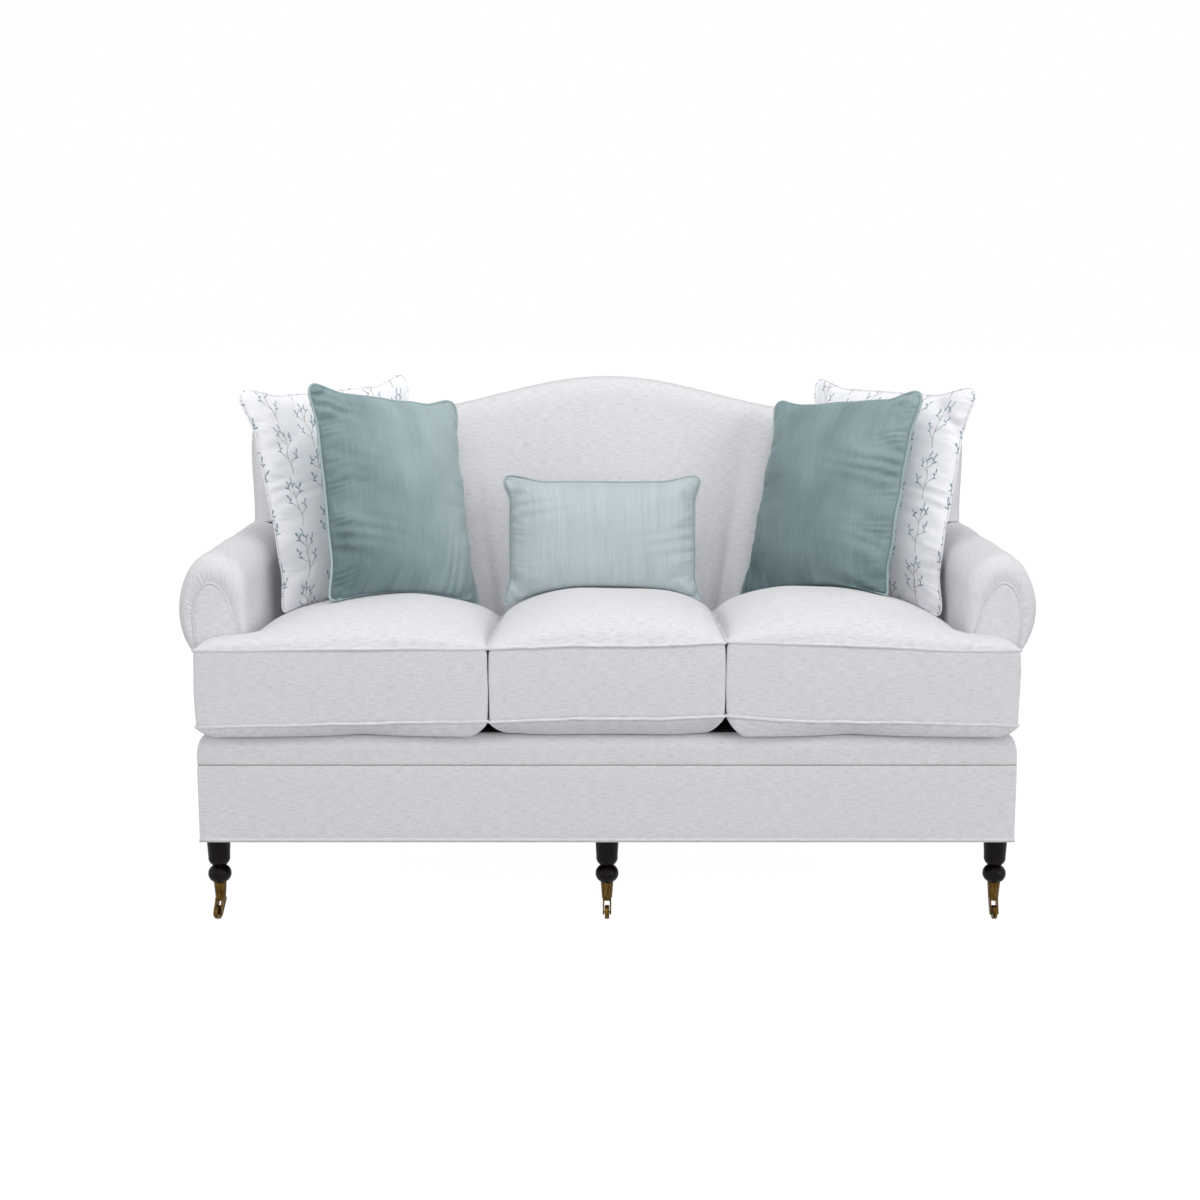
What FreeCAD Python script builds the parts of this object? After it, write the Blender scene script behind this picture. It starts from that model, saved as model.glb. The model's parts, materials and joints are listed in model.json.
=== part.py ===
import FreeCAD, Part
import math
import os
import Sketcher
from collections import namedtuple
from FreeCAD import Placement, Rotation, Vector

# A three-seat camelback sofa on six castors.
# The frame: +X to the sitter's left as seen from the front, +Y to the back, +Z up.
# The origin is on the floor under the middle of the sofa.

# Driving dimensions. Lengths are in millimetres and names that end in angle are in degrees.
SIZES = {
    # whole sofa
    "sofa_depth": 880,
    "seat_clear_width": 1496,
    "arm_width": 94,
    "back_overhang": 7,
    "camel_height": 1098,
    "shoulder_height": 1015,
    "arm_height": 765,
    "deck_height": 404,
    "apron_seam_height": 342,
    "base_clearance": 179,
    "apron_setback": 20,
    "seat_depth": 540,
    "inside_rake_angle": 17.2,
    "outside_rake_angle": 7,
    # camel line and shoulders of the back
    "camel_half_span": 520,
    "shoulder_radius": 45,
    "back_bulge": 12,
    "valley_foot_offset": 243,
    "valley_top_offset": 330,
    "crest_radius": 30,
    "back_top_padding": 40,
    # covers, cloths and clearances
    "cover_thickness": 3,
    "dust_cover_thickness": 1.5,
    "deck_cloth_thickness": 2,
    "rest_gap": 0.4,
    "cushion_gap": 1.6,
    "cushion_foot_gap": 1.2,
    "pillow_back_gap": 2.5,
    "wood_gap": 0.5,
    "overrun": 40,
    # timber
    "rail_thickness": 28,
    "block_size": 70,
    "middle_block_height": 110,
    "stretcher_height": 70,
    "stretcher_offset": 250,
    "post_thickness": 40,
    "post_width": 40,
    "post_inset": 19,
    "lower_rail_height": 60,
    "camel_rail_height": 90,
    "slat_width": 45,
    "arm_post_depth": 40,
    "arm_board_thickness": 22,
    "arm_stump_offset": 330,
    # suspension
    "spring_spacing": 200,
    "spring_wire_radius": 2,
    "spring_bend_radius": 25,
    "spring_straight": 26,
    "spring_drop": 10,
    "webbing_width": 50,
    "webbing_thickness": 1.5,
    "webbing_spacing": 130,
    # rolled arms
    "ear_depth": 104,
    "ear_gap": 1,
    "facing_thickness": 7,
    "facing_inset": 9,
    "facing_width": 99,
    "facing_waist_width": 83,
    "facing_waist_height": 590,
    "facing_height": 707,
    "roll_overhang": 50,
    "roll_crest_offset": 72,
    "roll_inner_height": 694,
    "roll_widest_height": 648,
    "roll_foot_height": 548,
    "roll_inner_radius": 74,
    "roll_outer_radius": 100,
    "roll_under_radius": 92,
    "arm_padding": 31,
    "arm_top_padding": 64,
    "arm_front_padding": 14,
    "arm_puff_radius": 24,
    # seat cushions
    "middle_cushion_width": 483,
    "ear_end_inset": 5,
    "ear_overlap": 108,
    "cushion_foot_seam": 35,
    "cushion_top_seam": 190,
    "cushion_slope": 32,
    "middle_crown_rise": 88,
    "left_crown_rise": 79,
    "right_crown_rise": 88,
    "ear_crown_rise": 26,
    "cushion_corner": 34,
    "cushion_cover_thickness": 2,
    # front lip
    "lip_radius": 30,
    "lip_end_radius": 20,
    # scatter pillows
    "pillow_cover_thickness": 1.5,
    "velvet_width": 420,
    "velvet_height": 480,
    "velvet_thickness": 140,
    "printed_width": 470,
    "printed_height": 500,
    "printed_thickness": 110,
    "lumbar_width": 440,
    "lumbar_height": 290,
    "lumbar_thickness": 120,
    "pillow_draw": 12,
    "velvet_left_across": -469,
    "velvet_left_setback": 119,
    "velvet_left_rise": 179,
    "velvet_left_yaw_angle": 49.3,
    "velvet_left_lean_angle": -16.9,
    "velvet_left_roll_angle": 8.4,
    "velvet_right_across": 498,
    "velvet_right_setback": 77,
    "velvet_right_rise": 171,
    "velvet_right_yaw_angle": -49.5,
    "velvet_right_lean_angle": -19.9,
    "velvet_right_roll_angle": -6,
    "printed_left_across": -596,
    "printed_left_setback": -17,
    "printed_left_rise": 180,
    "printed_left_yaw_angle": 46,
    "printed_left_lean_angle": -12.8,
    "printed_left_roll_angle": -2.5,
    "printed_right_across": 614,
    "printed_right_setback": -1,
    "printed_right_rise": 177,
    "printed_right_yaw_angle": -50,
    "printed_right_lean_angle": -10.8,
    "printed_right_roll_angle": 0.5,
    "lumbar_across": -10,
    "lumbar_setback": 95,
    "lumbar_rise": 83,
    "lumbar_yaw_angle": 3.6,
    "lumbar_lean_angle": -13.4,
    "lumbar_roll_angle": 0.6,
    # turned legs
    "leg_spread": 814,
    "leg_inset": 50,
    "leg_top_radius": 25,
    "leg_body_foot_radius": 22.5,
    "leg_body_foot_height": 133,
    "leg_body_turn_radius": 18,
    "leg_neck_radius": 11.5,
    "leg_neck_height": 114,
    "leg_ball_radius": 19.2,
    "leg_tip_height": 58,
    "leg_bolt_radius": 4,
    "leg_bolt_length": 90,
    "leg_bolt_depth": 35,
    "leg_bolt_clearance": 0.25,
    # brass cups and castors
    "cup_top_height": 78,
    "cup_foot_height": 43,
    "cup_top_radius": 13.5,
    "cup_foot_radius": 10.8,
    "cup_wall": 1.5,
    "cup_fit": 0.05,
    "stem_radius": 4,
    "stem_length": 13,
    "stem_clearance": 0.05,
    "fork_gap": 0.4,
    "fork_width": 18,
    "fork_slot_width": 11,
    "fork_crown_half_length": 8.5,
    "fork_crown_thickness": 5,
    "fork_eye_radius": 5.5,
    "fork_heel_angle": 30,
    "fork_toe_angle": 20,
    "castor_trail": 12,
    "castor_turn_angle": -18,
    "wheel_radius": 14.5,
    "wheel_width": 9.4,
    "wheel_edge": 1.6,
    "axle_radius": 2,
    "axle_clearance": 0.05,
}

# Two lengths nearer than this are the same one.
TINY = 1e-6

SIDES = (("left", -1), ("right", 1))
LEG_COLUMNS = (("left", -1), ("middle", 0), ("right", 1))
SPRING_COLUMNS = (-3, -2, -1, 0, 1, 2, 3)
WEBBING_COLUMNS = (-2, -1, 0, 1, 2)
WEBBING_ROWS = (1, 2, 3)

# Stations along a seat cushion from its front edge, as shares of its depth, with the height of
# the crown and the fall of the underside there, as shares of their full values.
CUSHION_DEPTH_SHARES = (0, 0.02, 0.06, 0.14, 0.28, 0.46, 0.64, 0.8, 0.92, 1)
CUSHION_CROWN_SHARES = (0.05, 0.28, 0.49, 0.72, 0.92, 1, 0.955, 0.8, 0.53, 0.12)
CUSHION_FOOT_SHARES = (0.2, 0.7, 0.97, 1, 1, 1, 1, 1, 0.96, 0.5)
# The crown of a cushion across it: a steep side arc that turns into a flatter one over the middle,
# each place as a share of the cushion's width and of the crown's rise.
CROWN_BEND_SHARES = (0.055, 0.46)
CROWN_SHOULDER_SHARES = (0.17, 0.79)
EAR_DEPTH_SHARES = (0, 0.1, 0.3, 0.6, 0.85, 1)
EAR_CROWN_SHARES = (0.08, 0.5, 0.85, 1, 0.7, 0.2)
EAR_FOOT_SHARES = (0.2, 0.75, 1, 1, 1, 0.8)

# Levels through half a pillow from its seam to its crown, as shares of the half thickness,
# with the reach of the sides' middles and of the corners there, as shares of the outline.
PILLOW_LEVEL_SHARES = (0, 0.16, 0.4, 0.64, 0.84, 0.96, 1)
PILLOW_SIDE_SHARES = (1, 0.975, 0.885, 0.74, 0.54, 0.3, 0.12)
PILLOW_CORNER_SHARES = (1, 0.9, 0.76, 0.6, 0.42, 0.22, 0.085)

# Places across half of the back where its padding changes, as shares of its half width.
BACK_STATION_SHARES = (0.05, 0.1, 0.15, 0.2, 0.245, 0.286, 0.335, 0.389, 0.44, 0.49, 0.54, 0.58, 0.613, 0.7, 0.79, 0.87)
# The same round the shoulder, as shares of the shoulder's radius from its start to the side.
SHOULDER_STATION_SHARES = (0, 0.4, 0.7, 0.9, 1)
QUARTER_ARC_SHARE = 1 - math.sqrt(0.5)


class Size:
    """A length or angle held both as a number and as a formula on the sheet."""

    def __init__(self, value, text):
        self.value = float(value)
        self.text = text

    def __add__(self, other):
        other = as_size(other)
        return Size(self.value + other.value, "(%s + %s)" % (self.text, other.text))

    def __radd__(self, other):
        return as_size(other) + self

    def __sub__(self, other):
        other = as_size(other)
        return Size(self.value - other.value, "(%s - %s)" % (self.text, other.text))

    def __rsub__(self, other):
        return as_size(other) - self

    def __mul__(self, other):
        other = as_size(other)
        return Size(self.value * other.value, "(%s * %s)" % (self.text, other.text))

    def __rmul__(self, other):
        return as_size(other) * self

    def __truediv__(self, other):
        other = as_size(other)
        return Size(self.value / other.value, "(%s / %s)" % (self.text, other.text))

    def __neg__(self):
        return Size(-self.value, "(0 - %s)" % self.text)


def as_size(amount):
    """Take a plain number or a Size and give a Size."""
    if isinstance(amount, Size):
        return amount
    return Size(amount, "(%.12g)" % amount)


def tangent(angle):
    return Size(math.tan(math.radians(angle.value)), "tan(%s)" % angle.text)


def sine(angle):
    return Size(math.sin(math.radians(angle.value)), "sin(%s)" % angle.text)


def cosine(angle):
    return Size(math.cos(math.radians(angle.value)), "cos(%s)" % angle.text)


document = FreeCAD.newDocument("sofa")
sheet = document.addObject("Spreadsheet::Sheet", "Sizes")
for row, (alias, number) in enumerate(SIZES.items(), start=1):
    sheet.set("A%d" % row, alias)
    sheet.set("B%d" % row, str(number))
    sheet.setAlias("B%d" % row, alias)
document.recompute()


class SheetSizes:
    """Gives each size of the sheet by its name."""

    def __getattr__(self, name):
        return Size(getattr(sheet, name), "Sizes." + name)


size = SheetSizes()
nodes = []

# Planes and levels that many pieces share.
front = -(size.sofa_depth / 2)
rear = size.sofa_depth / 2
seat_half = size.seat_clear_width / 2
base_half = seat_half + size.arm_width
back_half = base_half + size.back_overhang
frame_half = base_half - size.cover_thickness
apron_face = front + size.apron_setback
frame_front = apron_face + size.cover_thickness
rail_inner_face = frame_front + size.rail_thickness
facing_front = front + size.ear_depth + size.ear_gap
arm_front = facing_front + size.facing_thickness
lip_back = arm_front
rail_foot = size.base_clearance + size.dust_cover_thickness
rail_top = size.apron_seam_height
arm_cut_height = size.arm_height + size.rest_gap
post_offset = size.cover_thickness
frame_depth = size.cover_thickness + size.post_thickness
cavity_depth = frame_depth + size.webbing_thickness * 2 + size.wood_gap
camel_rise = size.camel_height - size.shoulder_height
cushion_back = front + size.seat_depth - size.back_bulge - size.cushion_gap


def inside_at(height):
    """The raked plane that the inside back's padding swells from, at a height."""
    return front + size.seat_depth + (height - size.deck_height) * tangent(size.inside_rake_angle)


def outside_at(height):
    """The raked outer face of the back at a height."""
    return rear - (size.camel_height - height) * tangent(size.outside_rake_angle)


# Helpers for the document's objects.

def bind(item, name, amount):
    """Tie one property to its formula on the sheet."""
    item.setExpression(name, as_size(amount).text)


def place(item, across=0, along=0, up=0):
    """Tie an object's place to the sheet."""
    for name, amount in (("x", across), ("y", along), ("z", up)):
        if isinstance(amount, Size):
            bind(item, "Placement.Base." + name, amount)


def keep(item, label):
    """Name a finished piece and put it among the nodes."""
    item.Label = label
    nodes.append(item)
    return item


Corner = namedtuple("Corner", "across up radius turn", defaults=(None, 0))


def arc_between(start, stop, radius, turn):
    """The lesser arc between two points. A turn of 1 runs anticlockwise and -1 clockwise."""
    half = (stop - start) * 0.5
    height = math.sqrt(max(radius ** 2 - half.Length ** 2, 0))
    aside = Vector(-half.y, half.x, 0).normalize() * (height * turn)
    centre = start + half + aside
    angles = [math.atan2(point.y - centre.y, point.x - centre.x) for point in (start, stop)]
    if turn < 0:
        angles.reverse()
    circle = Part.Circle(centre, Vector(0, 0, 1), radius)
    return Part.ArcOfCircle(circle, angles[0], angles[1])


def add_outline(body, name, role, corners, offset=0):
    """A closed sketch on one of the body's own planes, moved along its normal by an offset.

    Each corner holds its place and, where the edge that leaves it is an arc, a radius and turn.
    """
    sketch = body.newObject("Sketcher::SketchObject", name)
    plane = next(item for item in body.Origin.OriginFeatures if item.Role == role)
    sketch.AttachmentSupport = (plane, [""])
    sketch.MapMode = "FlatFace"
    if isinstance(offset, Size):
        bind(sketch, "AttachmentOffset.Base.z", offset)
    corners = [Corner(as_size(c.across), as_size(c.up), c.radius, c.turn) for c in corners]
    ends = []
    for corner, following in zip(corners, corners[1:] + corners[:1]):
        start = Vector(corner.across.value, corner.up.value, 0)
        stop = Vector(following.across.value, following.up.value, 0)
        if corner.radius is None:
            edge = Part.LineSegment(start, stop)
        else:
            edge = arc_between(start, stop, corner.radius.value, corner.turn)
        backwards = corner.radius is not None and corner.turn < 0
        ends.append((sketch.addGeometry(edge, False), 2 if backwards else 1, 1 if backwards else 2))
    constraints = []
    for (edge, first, last), (following, next_first, next_last) in zip(ends, ends[1:] + ends[:1]):
        constraints.append((Sketcher.Constraint("Coincident", edge, last, following, next_first), None))
    for corner, (edge, first, last) in zip(corners, ends):
        for kind, amount in (("DistanceX", corner.across), ("DistanceY", corner.up)):
            constraints.append((Sketcher.Constraint(kind, -1, 1, edge, first, amount.value), amount))
        if corner.radius is not None:
            constraints.append((Sketcher.Constraint("Radius", edge, corner.radius.value), corner.radius))
    indices = sketch.addConstraint([constraint for constraint, amount in constraints])
    for index, (constraint, amount) in zip(indices, constraints):
        if amount is not None:
            sketch.renameConstraint(index, "size%d" % index)
            bind(sketch, "Constraints.size%d" % index, amount)
    return sketch


def add_pad(body, name, sketch, length, symmetric=False):
    pad = body.newObject("PartDesign::Pad", name)
    pad.Profile = sketch
    if symmetric:
        pad.SideType = "Symmetric"
    bind(pad, "Length", length)
    return pad


def add_pocket(body, name, sketch, length):
    """A cut to both sides of its sketch."""
    pocket = body.newObject("PartDesign::Pocket", name)
    pocket.Profile = sketch
    pocket.SideType = "Symmetric"
    bind(pocket, "Length", length)
    return pocket


def add_revolution(body, name, sketch, axis):
    turned = body.newObject("PartDesign::Revolution", name)
    turned.Profile = sketch
    turned.ReferenceAxis = (sketch, [axis])
    turned.Angle = 360
    return turned


def add_prism(label, role, corners, low, high):
    """A body padded from an outline between two stations along the plane's axis."""
    body = document.addObject("PartDesign::Body", label)
    # The front plane's normal points to -Y, so its pad starts at the far station.
    offset = -high if role == "XZ_Plane" else low
    sketch = add_outline(body, label + "_outline", role, corners, offset)
    add_pad(body, label + "_pad", sketch, high - low)
    return body


def add_turning(label, corners):
    """A body turned about its own upright axis from (radius, height) corners."""
    body = document.addObject("PartDesign::Body", label)
    sketch = add_outline(body, label + "_outline", "XZ_Plane", corners)
    add_revolution(body, label + "_turning", sketch, "V_Axis")
    return body


def add_box(label, low, high):
    """A block between two opposite corners."""
    item = document.addObject("Part::Box", label)
    low = [as_size(amount) for amount in low]
    for name, start, stop in zip(("Length", "Width", "Height"), low, high):
        bind(item, name, stop - start)
    place(item, *low)
    return item


def add_rod(label, radius, height, across, along, foot):
    """An upright cylinder."""
    item = document.addObject("Part::Cylinder", label)
    bind(item, "Radius", radius)
    bind(item, "Height", height)
    place(item, across, along, foot)
    return item


def add_group(label, items):
    group = document.addObject("Part::Compound", label)
    group.Links = items
    return group


def add_fuse(label, items):
    """One tool from pieces that may overlap."""
    fuse = document.addObject("Part::MultiFuse", label)
    fuse.Shapes = items
    return fuse


def add_cut(label, base, tool):
    cut = document.addObject("Part::Cut", label)
    cut.Base = base
    cut.Tool = tool
    return cut


def add_common(label, first, second):
    common = document.addObject("Part::Common", label)
    common.Base = first
    common.Tool = second
    return common


def add_feature(label, shape, placement=None):
    feature = document.addObject("Part::Feature", label)
    feature.Shape = shape
    if placement is not None:
        feature.Placement = placement
    return feature


def add_raked_slab(label, left, right, foot, top, depth, thickness):
    """A piece parallel to the outside back, a depth inside its face, between two heights."""
    corners = [
        Corner(outside_at(foot) - depth - thickness, foot),
        Corner(outside_at(foot) - depth, foot),
        Corner(outside_at(top) - depth, top),
        Corner(outside_at(top) - depth - thickness, top),
    ]
    return add_prism(label, "YZ_Plane", corners, left, right)


def mirrored(side, low, high):
    """Two stations given for the +X side, in rising order on the side asked for."""
    return (low, high) if side > 0 else (-high, -low)


def flip(side, corners):
    """Corners given for the +X side, drawn on the side asked for."""
    return [Corner(as_size(c.across) * side, c.up, c.radius, c.turn * side) for c in corners]


# Timber base.

def leg_places():
    """Name, place and castor turn of each leg."""
    rows = (("front", apron_face + size.leg_inset),
            ("rear", outside_at(rail_foot) - size.leg_inset))
    for row, along in rows:
        for column, side in LEG_COLUMNS:
            turned = row == "front" and column == "left"
            turn = size.castor_turn_angle if turned else as_size(0)
            yield "%s_%s" % (row, column), size.leg_spread * side, along, turn


def rear_block_back():
    return outside_at(rail_foot) - size.cover_thickness - size.rail_thickness


def make_base():
    """Rails, blocks and stretchers that carry the seat and take the legs."""
    keep(add_box("front_rail", (-frame_half, frame_front, rail_foot),
                 (frame_half, rail_inner_face, rail_top)), "front_rail")
    keep(add_raked_slab("rear_rail", -frame_half, frame_half, rail_foot, rail_top,
                        post_offset, size.rail_thickness), "rear_rail")
    front_block_back = rail_inner_face + size.block_size
    rear_block_front = rear_block_back() - size.block_size
    rails = []
    for name, side in SIDES:
        low, high = mirrored(side, frame_half - size.rail_thickness, frame_half)
        rails.append(add_box("%s_side_rail" % name, (low, front_block_back, rail_foot),
                             (high, rear_block_front, rail_top)))
    keep(add_group("side_rails", rails), "side_rails")
    stretchers = []
    for name, side in SIDES:
        centre = size.stretcher_offset
        low, high = mirrored(side, centre - size.rail_thickness / 2, centre + size.rail_thickness / 2)
        stretchers.append(add_box("%s_stretcher" % name, (low, rail_inner_face, rail_foot),
                                  (high, rear_block_back(), rail_foot + size.stretcher_height)))
    keep(add_group("seat_stretchers", stretchers), "seat_stretchers")
    blocks = []
    rows = (("front", rail_inner_face, front_block_back), ("rear", rear_block_front, rear_block_back()))
    places = {name: (across, along) for name, across, along, turn in leg_places()}
    for row, low_y, high_y in rows:
        for column, side in LEG_COLUMNS:
            if side:
                low_x, high_x = mirrored(side, frame_half - size.block_size, frame_half)
                top = rail_top
            else:
                low_x, high_x = -(size.block_size / 2), size.block_size / 2
                top = rail_foot + size.middle_block_height
            name = "%s_%s" % (row, column)
            block = add_box(name + "_block", (low_x, low_y, rail_foot), (high_x, high_y, top))
            across, along = places[name]
            hole = add_rod(name + "_block_hole", size.leg_bolt_radius + size.leg_bolt_clearance,
                           size.leg_bolt_length, across, along, rail_foot - size.leg_bolt_depth)
            blocks.append(add_cut(name + "_bored_block", block, hole))
    keep(add_group("leg_blocks", blocks), "leg_blocks")
    sheet_piece = add_box("dust_cover_cloth", (-frame_half, frame_front, size.base_clearance),
                          (frame_half, outside_at(size.base_clearance) - size.cover_thickness, rail_foot))
    holes = []
    bolts = []
    for name, across, along, turn in leg_places():
        foot = size.base_clearance - size.leg_bolt_depth
        holes.append(add_rod(name + "_cloth_hole", size.leg_bolt_radius + size.leg_bolt_clearance,
                             size.leg_bolt_length, across, along, foot))
        bolts.append(add_rod(name + "_bolt", size.leg_bolt_radius,
                             size.leg_bolt_length - size.leg_bolt_clearance, across, along, foot))
    keep(add_cut("dust_cover", sheet_piece, add_group("cloth_holes", holes)), "dust_cover")
    keep(add_group("leg_bolts", bolts), "leg_bolts")


# Legs, cups and castors.

def leg_corners():
    """Half profile of a turned leg from the tip in its cup to the seat block."""
    tip_radius = cup_socket_radius(size.leg_tip_height) - size.cup_fit
    mouth_radius = cup_socket_radius(size.cup_top_height) - size.cup_fit
    bore = size.leg_bolt_radius + size.leg_bolt_clearance
    bore_foot = size.base_clearance - size.leg_bolt_depth
    return [
        Corner(0, size.leg_tip_height),
        Corner(tip_radius, size.leg_tip_height),
        Corner(mouth_radius, size.cup_top_height, size.leg_ball_radius, 1),
        Corner(size.leg_neck_radius, size.leg_neck_height, size.leg_body_turn_radius, 1),
        Corner(size.leg_body_foot_radius, size.leg_body_foot_height),
        Corner(size.leg_top_radius, size.base_clearance),
        Corner(bore, size.base_clearance),
        Corner(bore, bore_foot),
        Corner(0, bore_foot),
    ]


def cup_radius(height):
    """Outer radius of the tapered cup at a height."""
    share = (height - size.cup_foot_height) / (size.cup_top_height - size.cup_foot_height)
    return size.cup_foot_radius + (size.cup_top_radius - size.cup_foot_radius) * share


def cup_socket_radius(height):
    return cup_radius(height) - size.cup_wall


def cup_corners():
    bore = size.stem_radius + size.stem_clearance
    return [
        Corner(bore, size.cup_foot_height),
        Corner(size.cup_foot_radius, size.cup_foot_height),
        Corner(size.cup_top_radius, size.cup_top_height),
        Corner(cup_socket_radius(size.cup_top_height), size.cup_top_height),
        Corner(cup_socket_radius(size.leg_tip_height), size.leg_tip_height),
        Corner(bore, size.leg_tip_height),
    ]


def make_fork(name):
    """A castor's yoke with its stem and riveted axle, about its own swivel axis."""
    crown_top = size.cup_foot_height - size.fork_gap
    crown_foot = crown_top - size.fork_crown_thickness
    eye_along = -size.castor_trail
    eye_up = size.wheel_radius
    heel = (eye_along + size.fork_eye_radius * cosine(size.fork_heel_angle),
            eye_up - size.fork_eye_radius * sine(size.fork_heel_angle))
    toe = (eye_along - size.fork_eye_radius * cosine(size.fork_toe_angle),
           eye_up + size.fork_eye_radius * sine(size.fork_toe_angle))
    body = document.addObject("PartDesign::Body", name + "_yoke")
    cheek = add_outline(body, name + "_cheek", "YZ_Plane", [
        Corner(size.fork_crown_half_length, crown_top),
        Corner(size.fork_crown_half_length, crown_foot),
        Corner(heel[0], heel[1], size.fork_eye_radius, -1),
        Corner(toe[0], toe[1]),
        Corner(-size.fork_crown_half_length, crown_foot),
        Corner(-size.fork_crown_half_length, crown_top),
    ])
    add_pad(body, name + "_yoke_pad", cheek, size.fork_width, symmetric=True)
    reach = size.castor_trail + size.wheel_radius
    slot = add_outline(body, name + "_slot", "YZ_Plane", [
        Corner(-reach, 0),
        Corner(reach, 0),
        Corner(reach, crown_foot),
        Corner(-reach, crown_foot),
    ])
    add_pocket(body, name + "_slot_cut", slot, size.fork_slot_width)
    stem = add_outline(body, name + "_stem", "XZ_Plane", [
        Corner(0, crown_foot),
        Corner(size.stem_radius, crown_foot),
        Corner(size.stem_radius, size.cup_foot_height + size.stem_length),
        Corner(0, size.cup_foot_height + size.stem_length),
    ])
    add_revolution(body, name + "_stem_turning", stem, "V_Axis")
    hole = body.newObject("Sketcher::SketchObject", name + "_axle_hole")
    plane = next(item for item in body.Origin.OriginFeatures if item.Role == "YZ_Plane")
    hole.AttachmentSupport = (plane, [""])
    hole.MapMode = "FlatFace"
    centre = Vector(eye_along.value, eye_up.value, 0)
    ring = hole.addGeometry(Part.Circle(centre, Vector(0, 0, 1), size.axle_radius.value), False)
    parts = (("DistanceX", (-1, 1, ring, 3, centre.x), eye_along),
             ("DistanceY", (-1, 1, ring, 3, centre.y), eye_up),
             ("Radius", (ring, size.axle_radius.value), size.axle_radius))
    for kind, values, amount in parts:
        index = hole.addConstraint(Sketcher.Constraint(kind, *values))
        hole.renameConstraint(index, "size%d" % index)
        bind(hole, "Constraints.size%d" % index, amount)
    add_pocket(body, name + "_axle_cut", hole, size.fork_width)
    axle = document.addObject("Part::Cylinder", name + "_axle")
    bind(axle, "Radius", size.axle_radius)
    bind(axle, "Height", size.fork_width)
    axle.Placement.Rotation = Rotation(Vector(0, 1, 0), 90)
    place(axle, -(size.fork_width / 2), eye_along, eye_up)
    return add_group("castor_fork_" + name, [body, axle])


def make_wheel(name):
    """A castor wheel about its own axle."""
    body = document.addObject("PartDesign::Body", "castor_wheel_" + name)
    half = size.wheel_width / 2
    bore = size.axle_radius + size.axle_clearance
    shoulder = size.wheel_radius - size.wheel_edge
    flat = half - size.wheel_edge
    sketch = add_outline(body, name + "_tread", "XZ_Plane", [
        Corner(-half, bore),
        Corner(half, bore),
        Corner(half, shoulder, size.wheel_edge, 1),
        Corner(flat, size.wheel_radius),
        Corner(-flat, size.wheel_radius, size.wheel_edge, 1),
        Corner(-half, shoulder),
    ])
    add_revolution(body, name + "_wheel_turning", sketch, "H_Axis")
    return body


def turn_about_upright(item, angle):
    item.Placement.Rotation = Rotation(Vector(0, 0, 1), angle.value)
    bind(item, "Placement.Rotation.Angle", angle)


def make_legs():
    cups = []
    for name, across, along, turn in leg_places():
        leg = keep(add_turning("leg_" + name, leg_corners()), "leg_" + name)
        place(leg, across, along)
        cup = add_turning(name + "_cup", cup_corners())
        place(cup, across, along)
        cups.append(cup)
        fork = keep(make_fork(name), "castor_fork_" + name)
        turn_about_upright(fork, turn)
        place(fork, across, along)
        wheel = keep(make_wheel(name), "castor_wheel_" + name)
        turn_about_upright(wheel, turn)
        place(wheel, across + size.castor_trail * sine(turn),
              along - size.castor_trail * cosine(turn), size.wheel_radius)
    keep(add_group("castor_cups", cups), "castor_cups")


# Seat suspension and deck.

def spring_shape(across, start, stop, height):
    """One sinuous spring: straight runs across the seat joined by half turns."""
    half = size.spring_straight.value / 2
    bend = size.spring_bend_radius.value
    wire = size.spring_wire_radius.value
    runs = int((stop - start) / (bend * 2))
    first = start + ((stop - start) - runs * bend * 2) / 2
    pieces = []
    for run in range(runs + 1):
        level = first + run * bend * 2
        side = 1 if run % 2 == 0 else -1
        pieces.append(Part.makeCylinder(wire, half * 2, Vector(across - half, level, height),
                                        Vector(1, 0, 0)))
        if run < runs:
            ring = Part.Face(Part.Wire(Part.makeCircle(wire, Vector(across + half * side, level, height),
                                                       Vector(1, 0, 0))))
            pivot = Vector(across + half * side, level + bend, height)
            pieces.append(ring.revolve(pivot, Vector(0, 0, side), 180))
    return pieces[0].multiFuse(pieces[1:])


def make_suspension():
    height = (rail_top - size.spring_drop).value
    start = (rail_inner_face + size.spring_wire_radius).value
    stop = (outside_at(rail_foot) - size.cover_thickness - size.rail_thickness
            - size.spring_wire_radius).value
    springs = [spring_shape(column * size.spring_spacing.value, start, stop, height)
               for column in SPRING_COLUMNS]
    keep(add_feature("seat_springs", Part.makeCompound(springs)), "seat_springs")
    deck_half = seat_half + size.arm_padding
    deck_rear = outside_at(rail_top) - size.cover_thickness
    cloth_foot = size.deck_height - size.deck_cloth_thickness
    keep(add_box("deck_pad", (-deck_half, lip_back, rail_top),
                 (deck_half, deck_rear, cloth_foot)), "deck_pad")
    keep(add_box("deck_cloth", (-deck_half, lip_back, cloth_foot),
                 (deck_half, deck_rear, size.deck_height)), "deck_cloth")
    verticals = [add_raked_slab("webbing_upright_%d" % number,
                                column * size.webbing_spacing * 2 - size.webbing_width / 2,
                                column * size.webbing_spacing * 2 + size.webbing_width / 2,
                                size.deck_height + size.lower_rail_height / 2,
                                size.shoulder_height - size.back_top_padding - size.lower_rail_height / 2,
                                frame_depth + size.webbing_thickness, size.webbing_thickness)
                 for number, column in enumerate(WEBBING_COLUMNS)]
    reach = base_half - size.post_inset / 2
    cross = [add_raked_slab("webbing_cross_%d" % row, -reach, reach,
                            size.deck_height + row * size.webbing_spacing,
                            size.deck_height + row * size.webbing_spacing + size.webbing_width,
                            frame_depth, size.webbing_thickness)
             for row in WEBBING_ROWS]
    keep(add_group("back_webbing", verticals + cross), "back_webbing")


# Camel-shaped back.

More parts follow.
